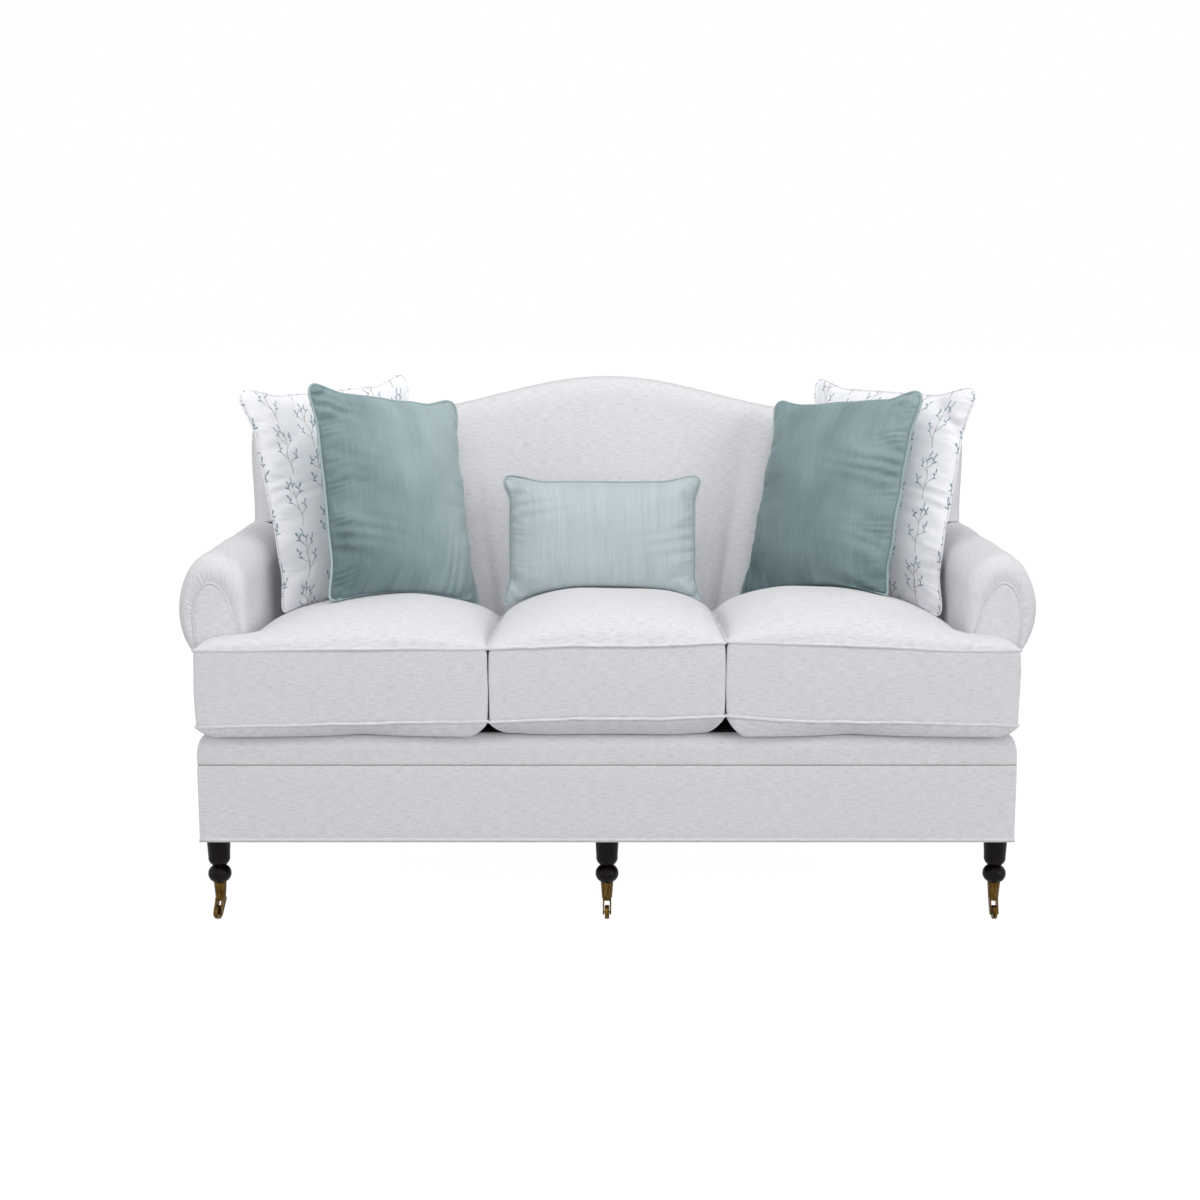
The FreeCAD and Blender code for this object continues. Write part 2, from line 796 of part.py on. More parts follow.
def camel_corners(half_width, foot, drop=0, corner_radius=None, step=None):
    """Outline of the back seen from the front, its camel line a drop below the finished top."""
    shoulder = size.shoulder_height - drop
    crest = size.camel_height - drop
    reach = size.camel_half_span / 2
    rise = camel_rise / 2
    # Two like arcs, one hollow and one full, meet half way up the camel line.
    radius = (reach * reach + rise * rise) / (rise * 2)
    corner = size.shoulder_radius if corner_radius is None else corner_radius
    middle = shoulder + rise
    right = [
        Corner(half_width, shoulder - corner, corner, 1),
        Corner(half_width - corner, shoulder),
        Corner(size.camel_half_span, shoulder, radius, -1),
        Corner(reach, middle, radius, 1),
    ]
    left = [
        Corner(-reach, middle, radius, -1),
        Corner(-size.camel_half_span, shoulder),
        Corner(corner - half_width, shoulder, corner, 1),
        Corner(-half_width, shoulder - corner),
    ]
    if step is None:
        lower_right = [Corner(half_width, foot)]
        lower_left = [Corner(-half_width, foot)]
    else:
        narrow, height = step
        lower_right = [Corner(narrow, foot), Corner(narrow, height), Corner(half_width, height)]
        lower_left = [Corner(-half_width, height), Corner(-narrow, height), Corner(-narrow, foot)]
    return lower_right + right + left + lower_left


def add_camel_piece(label, corners, foot, depth, thickness):
    """A raked slab behind the camel outline."""
    outline = add_prism(label + "_front_view", "XZ_Plane", corners,
                        front, rear + size.overrun)
    slab = add_raked_slab(label + "_side_view", -(back_half + size.overrun), back_half + size.overrun,
                          foot - size.overrun, size.camel_height + size.overrun, depth, thickness)
    return add_common(label, outline, slab)


def make_back_frame():
    posts = []
    post_top = size.shoulder_height - size.back_top_padding - size.post_width
    for name, side in SIDES:
        outer = base_half - size.post_inset / 2
        low, high = mirrored(side, outer - size.post_width, outer)
        posts.append(add_raked_slab("%s_back_post" % name, low, high, rail_top, post_top,
                                    post_offset, size.post_thickness))
    span = base_half - size.post_inset / 2 - size.post_width
    lower_top = size.deck_height + size.lower_rail_height
    rail_low = size.shoulder_height - size.back_top_padding - size.camel_rail_height
    inner = [add_raked_slab("back_lower_rail", -span, span, size.deck_height, lower_top,
                            post_offset, size.post_thickness)]
    for name, side in SIDES:
        centre = size.stretcher_offset
        low, high = mirrored(side, centre - size.slat_width / 2, centre + size.slat_width / 2)
        inner.append(add_raked_slab("%s_back_slat" % name, low, high, lower_top, rail_low,
                                    post_offset, size.post_thickness))
    keep(add_group("back_frame", posts + inner), "back_frame")
    corners = camel_corners(span, rail_low, size.back_top_padding, size.wood_gap * 2)
    keep(add_camel_piece("camel_top_rail", corners, rail_low, post_offset, size.post_thickness),
         "camel_top_rail")


def back_top_height(across):
    """Height of the back's crest at a place across it."""
    reach = abs(across)
    shoulder = size.shoulder_height.value
    radius = size.shoulder_radius.value
    half_span = size.camel_half_span.value
    start = back_half.value - radius
    if reach >= start:
        return shoulder - radius + math.sqrt(max(radius ** 2 - (reach - start) ** 2, 0))
    if reach >= half_span:
        return shoulder
    return shoulder + camel_rise.value * (1 + math.cos(math.pi * reach / half_span)) / 2


def back_swell(across, valley):
    """Swell of the padding over its plane, which is drawn in to nothing at the valleys."""
    reach = abs(across)
    if reach <= valley:
        share = 1 - (reach / valley) ** 2
    else:
        middle = (valley + back_half.value) / 2
        share = 1 - ((reach - middle) / (back_half.value - middle)) ** 2
    return size.back_bulge.value * share


def back_section(across):
    """Side view of the inside back's padding at a place across it, closed over the crest."""
    top = back_top_height(across)
    radius = size.crest_radius.value
    foot = size.deck_height.value
    turn = top - radius
    cover = size.cover_thickness.value
    heel = Vector(across, outside_at(as_size(foot)).value - cover, foot)
    toe = Vector(across, inside_at(as_size(foot)).value
                 - back_swell(across, size.valley_foot_offset.value), foot)
    chest = Vector(across, inside_at(as_size(turn)).value
                   - back_swell(across, size.valley_top_offset.value), turn)
    nape = Vector(across, outside_at(as_size(turn)).value - cover, turn)
    front_crest = Vector(across, chest.y + radius, top)
    rear_crest = Vector(across, nape.y - radius, top)
    inset = radius * QUARTER_ARC_SHARE
    front_arc = Vector(across, chest.y + inset, top - inset)
    rear_arc = Vector(across, nape.y - inset, top - inset)
    return Part.Wire([
        Part.LineSegment(heel, toe).toShape(),
        Part.LineSegment(toe, chest).toShape(),
        Part.Arc(chest, front_arc, front_crest).toShape(),
        Part.LineSegment(front_crest, rear_crest).toShape(),
        Part.Arc(rear_crest, rear_arc, nape).toShape(),
        Part.LineSegment(nape, heel).toShape(),
    ])


def make_back_padding():
    half = back_half.value
    radius = size.shoulder_radius.value
    reaches = [half * share for share in BACK_STATION_SHARES]
    reaches += [half - radius + radius * share for share in SHOULDER_STATION_SHARES]
    stations = [-reach for reach in reversed(reaches)] + [0] + reaches
    padding = add_feature("back_padding", Part.makeLoft([back_section(x) for x in stations], True, True))
    spaces = []
    for name, side in SIDES:
        low, high = mirrored(side, seat_half - size.rest_gap, back_half + size.overrun)
        spaces.append(add_box("%s_arm_space" % name, (low, front, size.deck_height - size.overrun),
                              (high, rear + size.overrun, arm_cut_height)))
    corners = camel_corners(base_half - size.post_inset / 2 + size.wood_gap,
                            size.deck_height - size.overrun,
                            size.back_top_padding - size.wood_gap, size.wood_gap * 2)
    spaces.append(add_camel_piece("back_frame_space", corners, size.deck_height,
                                  size.cover_thickness - size.wood_gap,
                                  cavity_depth - size.cover_thickness + size.wood_gap))
    keep(add_cut("inside_back", padding, add_fuse("inside_back_spaces", spaces)), "inside_back")
    corners = camel_corners(back_half - size.cover_thickness, size.base_clearance,
                            size.crest_radius, step=(base_half, arm_cut_height))
    keep(add_camel_piece("outside_back", corners, size.base_clearance, as_size(0),
                         size.cover_thickness), "outside_back")


# Rolled arms.

def roll_corners():
    """Section of the arm's padding on the +X side, before its hollow for the timber."""
    widest = base_half + size.roll_overhang
    crest = seat_half + size.roll_crest_offset
    return [
        Corner(seat_half, size.deck_height),
        Corner(frame_half, size.deck_height),
        Corner(frame_half, size.roll_foot_height, size.roll_under_radius, 1),
        Corner(widest, size.roll_widest_height, size.roll_outer_radius, 1),
        Corner(crest, size.arm_height, size.roll_inner_radius, 1),
        Corner(seat_half, size.roll_inner_height),
    ]


def make_arm_rolls():
    """The padded roll of each arm with its puffed front, before it is hollowed for the timber."""
    body = document.addObject("PartDesign::Body", "left_arm_roll")
    outline = add_outline(body, "arm_section", "XZ_Plane", flip(-1, roll_corners()), -rear)
    roll = add_pad(body, "arm_length", outline, rear - arm_front)
    document.recompute()
    puffed = []
    for number, edge in enumerate(roll.Shape.Edges, start=1):
        at_front = abs(edge.BoundBox.YMax - arm_front.value) < TINY
        if at_front and edge.Curve.TypeId == "Part::GeomCircle":
            puffed.append("Edge%d" % number)
    puff = body.newObject("PartDesign::Fillet", "arm_puff")
    puff.Base = (roll, puffed)
    bind(puff, "Radius", size.arm_puff_radius)
    behind = add_outline(body, "arm_back_line", "YZ_Plane", [
        Corner(outside_at(size.base_clearance) - size.cover_thickness, size.base_clearance),
        Corner(rear + size.overrun, size.base_clearance),
        Corner(rear + size.overrun, size.camel_height),
        Corner(outside_at(size.camel_height) - size.cover_thickness, size.camel_height),
    ])
    add_pocket(body, "arm_back_cut", behind, (base_half + size.roll_overhang + size.overrun) * 2)
    other = document.addObject("Part::Mirroring", "right_arm_roll")
    other.Source = body
    other.Normal = Vector(1, 0, 0)
    return {"left": body, "right": other}


def make_arm(name, side, body):
    board_top = size.arm_height - size.arm_top_padding
    board_foot = board_top - size.arm_board_thickness
    frame_low = seat_half + size.arm_padding
    post_front = arm_front + size.arm_front_padding
    low, high = mirrored(side, frame_low + size.wood_gap, frame_half - size.wood_gap)
    board_rear = outside_at(board_foot) - cavity_depth
    stump_front = post_front + size.arm_stump_offset
    pieces = [
        add_box(name + "_arm_post", (low, post_front + size.wood_gap, rail_top),
                (high, post_front + size.arm_post_depth, board_foot)),
        add_box(name + "_arm_stump", (low, stump_front, rail_top),
                (high, stump_front + size.arm_post_depth, board_foot)),
        add_box(name + "_arm_board", (low, post_front + size.wood_gap, board_foot),
                (high, board_rear, board_top - size.wood_gap)),
        add_box(name + "_arm_foot_rail", (low, post_front + size.arm_post_depth, rail_top),
                (high, stump_front, size.deck_height)),
    ]
    keep(add_group("arm_frame_" + name, pieces), "arm_frame_" + name)

    low, high = mirrored(side, frame_low, frame_half + size.overrun / 2)
    timber = add_box(name + "_arm_timber_space", (low, post_front, size.deck_height - size.overrun),
                     (high, rear + size.overrun, size.roll_foot_height))
    low, high = mirrored(side, frame_low, frame_half)
    upper = add_box(name + "_arm_upper_space", (low, post_front, size.roll_foot_height),
                    (high, rear + size.overrun, board_top))
    outer = base_half - size.post_inset / 2 + size.wood_gap
    low, high = mirrored(side, seat_half - size.overrun, outer)
    post = add_raked_slab(name + "_arm_post_space", low, high, size.deck_height - size.overrun,
                          size.arm_height + size.overrun, as_size(0), cavity_depth)
    spaces = add_fuse(name + "_arm_spaces", [timber, upper, post])
    keep(add_cut("arm_pad_" + name, body, spaces), "arm_pad_" + name)

    inner = seat_half + size.facing_inset
    round_radius = size.facing_width / 2
    centre = inner + round_radius
    waist = inner + size.facing_waist_width
    spring_line = size.facing_height - round_radius
    corners = [
        Corner(inner, size.deck_height),
        Corner(waist, size.deck_height),
        Corner(waist, size.facing_waist_height),
        Corner(inner + size.facing_width, spring_line, round_radius, 1),
        Corner(centre, size.facing_height, round_radius, 1),
        Corner(inner, spring_line),
    ]
    keep(add_prism("arm_facing_" + name, "XZ_Plane", flip(side, corners), facing_front, arm_front),
         "arm_facing_" + name)

    low, high = mirrored(side, frame_half, base_half)
    panel_top = size.roll_foot_height - size.wood_gap
    corners = [
        Corner(frame_front, size.base_clearance),
        Corner(outside_at(size.base_clearance) - size.cover_thickness, size.base_clearance),
        Corner(outside_at(panel_top) - size.cover_thickness, panel_top),
        Corner(arm_front, panel_top),
        Corner(arm_front, rail_top),
        Corner(frame_front, rail_top),
    ]
    keep(add_prism("outside_arm_" + name, "YZ_Plane", corners, low, high), "outside_arm_" + name)


# Front of the base.

def make_front():
    keep(add_box("front_apron", (-base_half, apron_face, size.base_clearance),
                 (base_half, frame_front, rail_top)), "front_apron")
    body = document.addObject("PartDesign::Body", "front_lip")
    turn = size.deck_height - size.lip_radius
    outline = add_outline(body, "front_lip_section", "YZ_Plane", [
        Corner(apron_face, rail_top),
        Corner(lip_back, rail_top),
        Corner(lip_back, size.deck_height),
        Corner(apron_face + size.lip_radius, size.deck_height, size.lip_radius, 1),
        Corner(apron_face, turn),
    ], -base_half)
    lip = add_pad(body, "front_lip_length", outline, base_half * 2)
    document.recompute()
    ends = []
    for number, edge in enumerate(lip.Shape.Edges, start=1):
        box = edge.BoundBox
        at_end = abs(abs(box.XMin) - base_half.value) < TINY and box.XLength < TINY
        if at_end and box.ZMin > size.deck_height.value - TINY:
            ends.append("Edge%d" % number)
    rounding = body.newObject("PartDesign::Fillet", "front_lip_ends")
    rounding.Base = (lip, ends)
    bind(rounding, "Radius", size.lip_end_radius)
    keep(body, "front_lip")


# Seat cushions.

def cushion_section(along, low, high, top_seam, rise, foot, growth):
    """Front view of a boxed cushion at a station, grown outward by a thickness."""
    low -= growth
    high += growth
    seam = size.deck_height.value + size.cushion_foot_seam.value
    foot -= growth
    corner = size.cushion_corner.value
    turn = (seam - foot) * QUARTER_ARC_SHARE
    head = top_seam + growth
    bend, bend_rise = CROWN_BEND_SHARES
    shoulder, shoulder_rise = CROWN_SHOULDER_SHARES
    width = high - low
    points = {
        "low seam": Vector(low, along, seam),
        "low turn": Vector(low + corner * QUARTER_ARC_SHARE, along, foot + turn),
        "low foot": Vector(low + corner, along, foot),
        "high foot": Vector(high - corner, along, foot),
        "high turn": Vector(high - corner * QUARTER_ARC_SHARE, along, foot + turn),
        "high seam": Vector(high, along, seam),
        "high top": Vector(high, along, head),
        "high bend": Vector(high - width * bend, along, head + rise * bend_rise),
        "high shoulder": Vector(high - width * shoulder, along, head + rise * shoulder_rise),
        "crown": Vector((low + high) / 2, along, head + rise),
        "low shoulder": Vector(low + width * shoulder, along, head + rise * shoulder_rise),
        "low bend": Vector(low + width * bend, along, head + rise * bend_rise),
        "low top": Vector(low, along, head),
    }
    return Part.Wire([
        Part.Arc(points["low seam"], points["low turn"], points["low foot"]).toShape(),
        Part.LineSegment(points["low foot"], points["high foot"]).toShape(),
        Part.Arc(points["high foot"], points["high turn"], points["high seam"]).toShape(),
        Part.LineSegment(points["high seam"], points["high top"]).toShape(),
        Part.Arc(points["high top"], points["high bend"], points["high shoulder"]).toShape(),
        Part.Arc(points["high shoulder"], points["crown"], points["low shoulder"]).toShape(),
        Part.Arc(points["low shoulder"], points["low bend"], points["low top"]).toShape(),
        Part.LineSegment(points["low top"], points["low seam"]).toShape(),
    ])


def boxed_cushion(low, high, depth, rise, growth, shares, slope):
    """A boxed cushion from the front plane back, as a loft of its front views."""
    start = front.value - growth
    length = depth + growth * 2
    deck = size.deck_height.value + size.cushion_foot_gap.value
    drop = size.cushion_foot_seam.value - size.cushion_foot_gap.value
    sections = []
    for depth_share, crown_share, foot_share in zip(*shares):
        top_seam = size.deck_height.value + size.cushion_top_seam.value - slope * depth_share
        foot = deck + drop * (1 - foot_share)
        sections.append(cushion_section(start + length * depth_share, low, high, top_seam,
                                        rise * crown_share, foot, growth))
    return Part.makeLoft(sections, True, False)


def cushion_shape(name, growth):
    """One seat cushion. The outer two have an ear that runs in front of the arm."""
    gap = size.cushion_gap.value
    depth = (cushion_back - front).value
    body_shares = (CUSHION_DEPTH_SHARES, CUSHION_CROWN_SHARES, CUSHION_FOOT_SHARES)
    ear_shares = (EAR_DEPTH_SHARES, EAR_CROWN_SHARES, EAR_FOOT_SHARES)
    inner = size.middle_cushion_width.value / 2
    slope = size.cushion_slope.value
    rise = getattr(size, name + "_crown_rise").value
    if name == "middle":
        return boxed_cushion(gap / 2 - inner, inner - gap / 2, depth, rise, growth, body_shares, slope)
    outer = seat_half.value - gap
    ear_end = base_half.value - size.ear_end_inset.value
    body = boxed_cushion(inner + gap / 2, outer, depth, rise, growth, body_shares, slope)
    ear_depth = size.ear_depth.value - size.rest_gap.value
    ear = boxed_cushion(outer - size.ear_overlap.value, ear_end, ear_depth, size.ear_crown_rise.value,
                        growth, ear_shares, slope * ear_depth / depth)
    whole = body.fuse(ear).removeSplitter()
    if name == "left":
        whole = whole.mirror(Vector(0, 0, 0), Vector(1, 0, 0))
    return whole


def make_seat_cushions():
    """Each cushion is a sewn cover with a filled insert inside it."""
    wall = size.cushion_cover_thickness.value
    for name in ("left", "middle", "right"):
        whole = add_feature(name + "_cushion_whole", cushion_shape(name, 0))
        hollow = add_feature(name + "_cushion_hollow", cushion_shape(name, -wall))
        keep(add_cut("seat_cushion_" + name, whole, hollow), "seat_cushion_" + name)
        insert = cushion_shape(name, -wall - size.rest_gap.value)
        keep(add_feature("seat_insert_" + name, insert), "seat_insert_" + name)


# Scatter pillows.

def pillow_ring(width, height, side_share, corner_share, level):
    """The pillow's outline at a level, from its four corners and the middles of its sides."""
    draw = size.pillow_draw.value
    corner_x = width / 2 * corner_share
    corner_z = height / 2 * corner_share
    side_x = (width / 2 - draw) * side_share
    side_z = (height / 2 - draw) * side_share
    corners = [Vector(-corner_x, level, -corner_z), Vector(corner_x, level, -corner_z),
               Vector(corner_x, level, corner_z), Vector(-corner_x, level, corner_z)]
    middles = [Vector(0, level, -side_z), Vector(side_x, level, 0),
               Vector(0, level, side_z), Vector(-side_x, level, 0)]
    return Part.Wire([Part.Arc(start, middle, stop).toShape()
                      for start, middle, stop in zip(corners, middles, corners[1:] + corners[:1])])


def pillow_shape(kind, growth):
    """A knife-edge pillow: two crowned halves that meet at the drawn-in seam."""
    width = getattr(size, kind + "_width").value + growth * 2
    height = getattr(size, kind + "_height").value + growth * 2
    half = getattr(size, kind + "_thickness").value / 2 + growth
    halves = []
    for face in (-1, 1):
        rings = [pillow_ring(width, height, side_share, corner_share, half * level_share * face)
                 for level_share, side_share, corner_share
                 in zip(PILLOW_LEVEL_SHARES, PILLOW_SIDE_SHARES, PILLOW_CORNER_SHARES)]
        halves.append(Part.makeLoft(rings, True, False))
    return halves[0].fuse(halves[1]).removeSplitter()


def pillow_placement(name):
    """Where a pillow leans: its middle, turned, leaned back and rolled."""
    centre = Vector(getattr(size, name + "_across").value,
                    front.value + size.seat_depth.value - getattr(size, name + "_setback").value,
                    cushion_crown_height().value + getattr(size, name + "_rise").value)
    turn = Rotation(Vector(0, 0, 1), getattr(size, name + "_yaw_angle").value)
    lean = Rotation(Vector(1, 0, 0), getattr(size, name + "_lean_angle").value)
    roll = Rotation(Vector(0, 1, 0), getattr(size, name + "_roll_angle").value)
    return Placement(centre, turn.multiply(lean).multiply(roll))


def cushion_crown_height():
    """Height of the middle seat cushion's crown."""
    return (size.deck_height + size.cushion_top_seam - size.cushion_slope / 2
            + size.middle_crown_rise)


def pillow_neighbours(name, cushion, inset):
    """What a pillow presses against, grown by the gap and by how deep in the pillow it is asked."""
    grown = size.rest_gap + inset
    prefix = "%s_%s" % (name, "outer" if not inset.value else "inner_%d" % round(inset.value * 10))
    seat = add_feature(prefix + "_seat", cushion_shape(cushion, grown.value))
    foot = size.deck_height
    top = size.camel_height + size.overrun
    grown_back = size.pillow_back_gap + inset
    back_face = [
        Corner(inside_at(foot) - size.back_bulge - grown_back, foot),
        Corner(rear + size.overrun * 4, foot),
        Corner(rear + size.overrun * 4, top),
        Corner(inside_at(top) - size.back_bulge - grown_back, top),
    ]
    reach = back_half + size.overrun
    back = add_prism(prefix + "_back", "YZ_Plane", back_face, -reach, reach)
    tools = [seat, back]
    side = -1 if cushion == "left" else 1
    if cushion != "middle":
        low, high = mirrored(side, seat_half - grown, reach)
        tools.append(add_box(prefix + "_arm", (low, front, size.deck_height),
                             (high, rear, size.arm_height + grown)))
    return add_fuse(prefix + "_neighbours", tools)


def make_pillow(label, name, kind, cushion):
    """A pillow cover and its insert, shaped by the seat, back and arm that they press on."""
    wall = size.pillow_cover_thickness
    placement = pillow_placement(name)
    layers = []
    for number, inset in enumerate((as_size(0), wall, wall + size.rest_gap)):
        whole = add_feature("%s_layer_%d" % (name, number), pillow_shape(kind, -inset.value), placement)
        layers.append(add_cut("%s_shaped_%d" % (name, number), whole,
                              pillow_neighbours(name, cushion, inset)))
    keep(add_cut(label, layers[0], layers[1]), label)
    keep(layers[2], label.replace("pillow", "insert"))


def make_pillows():
    make_pillow("printed_pillow_left", "printed_left", "printed", "left")
    make_pillow("printed_pillow_right", "printed_right", "printed", "right")
    make_pillow("velvet_pillow_left", "velvet_left", "velvet", "left")
    make_pillow("velvet_pillow_right", "velvet_right", "velvet", "right")
    make_pillow("lumbar_pillow", "lumbar", "lumbar", "middle")


def check_and_write():
    """Stop on any failed object, then write each piece to its own file."""
    for item in document.Objects:
        if "Invalid" in item.State or "Error" in item.State:
            raise RuntimeError("%s failed: %s" % (item.Label, item.State))
    labels = [item.Label for item in nodes]
    if len(set(labels)) != len(labels):
        raise RuntimeError("two pieces share a name")
    for item in nodes:
        shape = item.Shape
        if shape.isNull() or not shape.isValid() or not shape.Solids:
            raise RuntimeError("%s has no valid solid" % item.Label)
    os.makedirs("parts", exist_ok=True)
    for item in nodes:
        item.Shape.exportStep("parts/%s.step" % item.Label)
        box = item.Shape.BoundBox
        print("%-26s %2d solids  x %7.1f %7.1f  y %7.1f %7.1f  z %7.1f %7.1f" % (
            item.Label, len(item.Shape.Solids), box.XMin, box.XMax, box.YMin, box.YMax,
            box.ZMin, box.ZMax))


make_base()
make_legs()
make_suspension()
make_back_frame()
make_back_padding()
rolls = make_arm_rolls()
for side_name, side_sign in SIDES:
    make_arm(side_name, side_sign, rolls[side_name])
make_front()
make_seat_cushions()
make_pillows()
document.recompute()
check_and_write()
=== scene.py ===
"""A three-seat camelback sofa with loose cushions, scatter pillows and castored legs."""
import json
import logging
import math
from dataclasses import dataclass, field
from enum import Enum

import bmesh
import bpy
import numpy as np
from mathutils import Matrix, Vector


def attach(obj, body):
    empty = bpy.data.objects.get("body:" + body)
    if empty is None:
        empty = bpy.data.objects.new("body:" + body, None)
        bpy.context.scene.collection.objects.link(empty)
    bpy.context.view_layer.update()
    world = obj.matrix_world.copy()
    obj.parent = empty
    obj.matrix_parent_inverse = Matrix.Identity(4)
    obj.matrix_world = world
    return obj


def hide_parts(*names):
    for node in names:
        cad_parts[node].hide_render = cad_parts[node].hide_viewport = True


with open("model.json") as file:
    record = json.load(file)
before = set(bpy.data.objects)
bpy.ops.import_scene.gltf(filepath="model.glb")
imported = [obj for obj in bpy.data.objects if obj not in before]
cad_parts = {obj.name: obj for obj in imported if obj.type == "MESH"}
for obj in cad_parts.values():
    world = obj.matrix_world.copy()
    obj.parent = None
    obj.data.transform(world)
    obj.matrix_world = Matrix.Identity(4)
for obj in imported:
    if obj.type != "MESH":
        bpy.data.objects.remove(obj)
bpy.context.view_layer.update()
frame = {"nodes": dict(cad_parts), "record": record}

log = logging.getLogger("sofa")

# The sofa's own frame: metres, X across, Y from front to back, Z up from the floor.
MM = 0.001
FRONT = -0.440
REAR = 0.440
BASE_FOOT = 0.179
DECK = 0.404
SEAT_HALF = 0.748
BASE_HALF = 0.842
CAMEL_TOP = 1.098
APRON_FACE = FRONT + 0.020
LIP_BACK = FRONT + 0.112
INSIDE_RAKE = math.tan(math.radians(17.2))
OUTSIDE_RAKE = math.tan(math.radians(7))


class Fabric(Enum):
    """The cloths, by the record's slot that each is listed under."""
    LINEN = "linen"
    VELVET = "sage_velvet"
    PRINT = "printed_linen"
    SILK = "aqua_silk"
    BLACK = "black_cloth"


def outside_depth(height: np.ndarray) -> np.ndarray:
    """Y of the raked outside back at a height."""
    return REAR - (CAMEL_TOP - height) * OUTSIDE_RAKE


def smooth_step(low: float, high: float, value: np.ndarray) -> np.ndarray:
    """Rise from 0 at low to 1 at high with level ends."""
    share = np.clip((value - low) / (high - low), 0, 1)
    return share * share * (3 - 2 * share)


def superellipse(share: np.ndarray, power: float, root: float) -> np.ndarray:
    """Fall from 1 where the share is 0 to 0 where it is 1: (1 - share to a power) to a root."""
    return np.clip(1 - np.clip(share, 0, 1) ** power, 0, 1) ** root


def bell(distance: np.ndarray, width: float) -> np.ndarray:
    """A bump of 1 where the distance is 0: e to minus the square of distance by width."""
    return np.exp(-(distance / width) ** 2)


def ripple(points: np.ndarray, wavelength: float, seed: int, height: float = 1.0,
           count: int = 9) -> np.ndarray:
    """Soft unevenness: a sum of sine waves that run in different directions.

    Args:
        points: an array of places, the last axis X, Y and Z.
        wavelength: the middle wavelength in metres.
        seed: picks the directions, lengths and phases.
        height: how high the waves are together, about.
        count: how many waves are added.

    Returns:
        One number a place, mostly between plus and minus the height.
    """
    chance = np.random.default_rng(seed)
    ways = chance.normal(size=(count, points.shape[-1]))
    ways /= np.linalg.norm(ways, axis=1, keepdims=True)
    turns = ways * 2 * math.pi / (wavelength * chance.uniform(0.6, 1.5, (count, 1)))
    phases = chance.uniform(0, 2 * math.pi, count)
    return np.sin(points @ turns.T + phases).sum(-1) / math.sqrt(count) * 0.8 * height


def run_length(points: np.ndarray) -> np.ndarray:
    """Distance along an open line of points, or down each column of a grid, from 0 on."""
    steps = np.linalg.norm(np.diff(points, axis=0), axis=-1)
    return np.concatenate([np.zeros_like(steps[:1]), np.cumsum(steps, axis=0)])


def loop_length(points: np.ndarray) -> np.ndarray:
    """Distance along a closed line of points, from 0 to its whole length."""
    return run_length(np.concatenate([points, points[:1]]))


def evenly(line: np.ndarray, count: int) -> np.ndarray:
    """Space the points of a flat line evenly, without its last."""
    run = run_length(line)
    at = np.linspace(0, run[-1], count, endpoint=False)
    return np.stack([np.interp(at, run, line[:, axis]) for axis in range(2)], -1)


def softened(loop: np.ndarray, weights: np.ndarray) -> np.ndarray:
    """Each point of a closed line as the mean of its neighbours under a curve of weights."""
    share = np.fft.fft(weights / weights.sum())[:, None]
    return np.fft.ifft(np.fft.fft(loop, axis=0) * share, axis=0).real


def round_line(corners: list, count: int, softness: float) -> np.ndarray:
    """A closed outline with soft corners, evenly spaced.

    The straight outline is spaced evenly, then each point becomes the mean of its neighbours
    under a bell curve as wide as the softness.

    Args:
        corners: the outline's corners in order.
        count: how many points it gets.
        softness: the bell curve's width in metres.

    Returns:
        The points, count by 2.
    """
    loop = np.array(list(corners) + [corners[0]], float)
    length = run_length(loop)[-1]
    at = np.linspace(0, length, count, endpoint=False)
    return softened(evenly(loop, count), np.exp(-0.5 * (np.minimum(at, length - at) / softness) ** 2))


def wrapped(grid: np.ndarray) -> np.ndarray:
    """A grid with its first column once more at its end."""
    return np.concatenate([grid, grid[:, :1]], 1)


def spokes(line: np.ndarray, middle: np.ndarray) -> tuple:
    """How far each point of an outline is from its middle, and the way inwards from it."""
    away = line - middle
    reach = np.linalg.norm(away, axis=1)
    return reach, -away / reach[:, None]


def quads(grid: np.ndarray) -> np.ndarray:
    """The faces of a grid of points' numbers."""
    return np.stack([grid[:-1, :-1], grid[:-1, 1:], grid[1:, 1:], grid[1:, :-1]], -1).reshape(-1, 4)


def weld(mesh: bpy.types.Mesh) -> None:
    """Join the points that lie on each other, at seams and poles."""
    work = bmesh.new()
    work.from_mesh(mesh)
    bmesh.ops.remove_doubles(work, verts=work.verts, dist=1e-6)
    bmesh.ops.dissolve_degenerate(work, edges=work.edges, dist=1e-7)
    work.to_mesh(mesh)
    work.free()


def add_object(name: str, data: bpy.types.ID) -> bpy.types.Object:
    """Put a mesh, a lamp or a camera in the scene, at the origin."""
    made = bpy.data.objects.new(name, data)
    bpy.context.scene.collection.objects.link(made)
    return made


def add_piece(name: str, mesh: bpy.types.Mesh) -> bpy.types.Object:
    """Put a finished mesh in the scene as a smooth piece."""
    mesh.polygons.foreach_set("use_smooth", np.ones(len(mesh.polygons), bool))
    mesh.update()
    return add_object(name, mesh)


def cloth_mesh(name: str, places: np.ndarray, faces: np.ndarray, cloth: np.ndarray) -> bpy.types.Mesh:
    """A mesh with the cloth's coordinates in metres at each face's corners."""
    mesh = bpy.data.meshes.new(name)
    mesh.from_pydata(places.tolist(), [], faces.tolist())
    mesh.uv_layers.new(name="cloth").uv.foreach_set("vector", cloth.ravel())
    return mesh


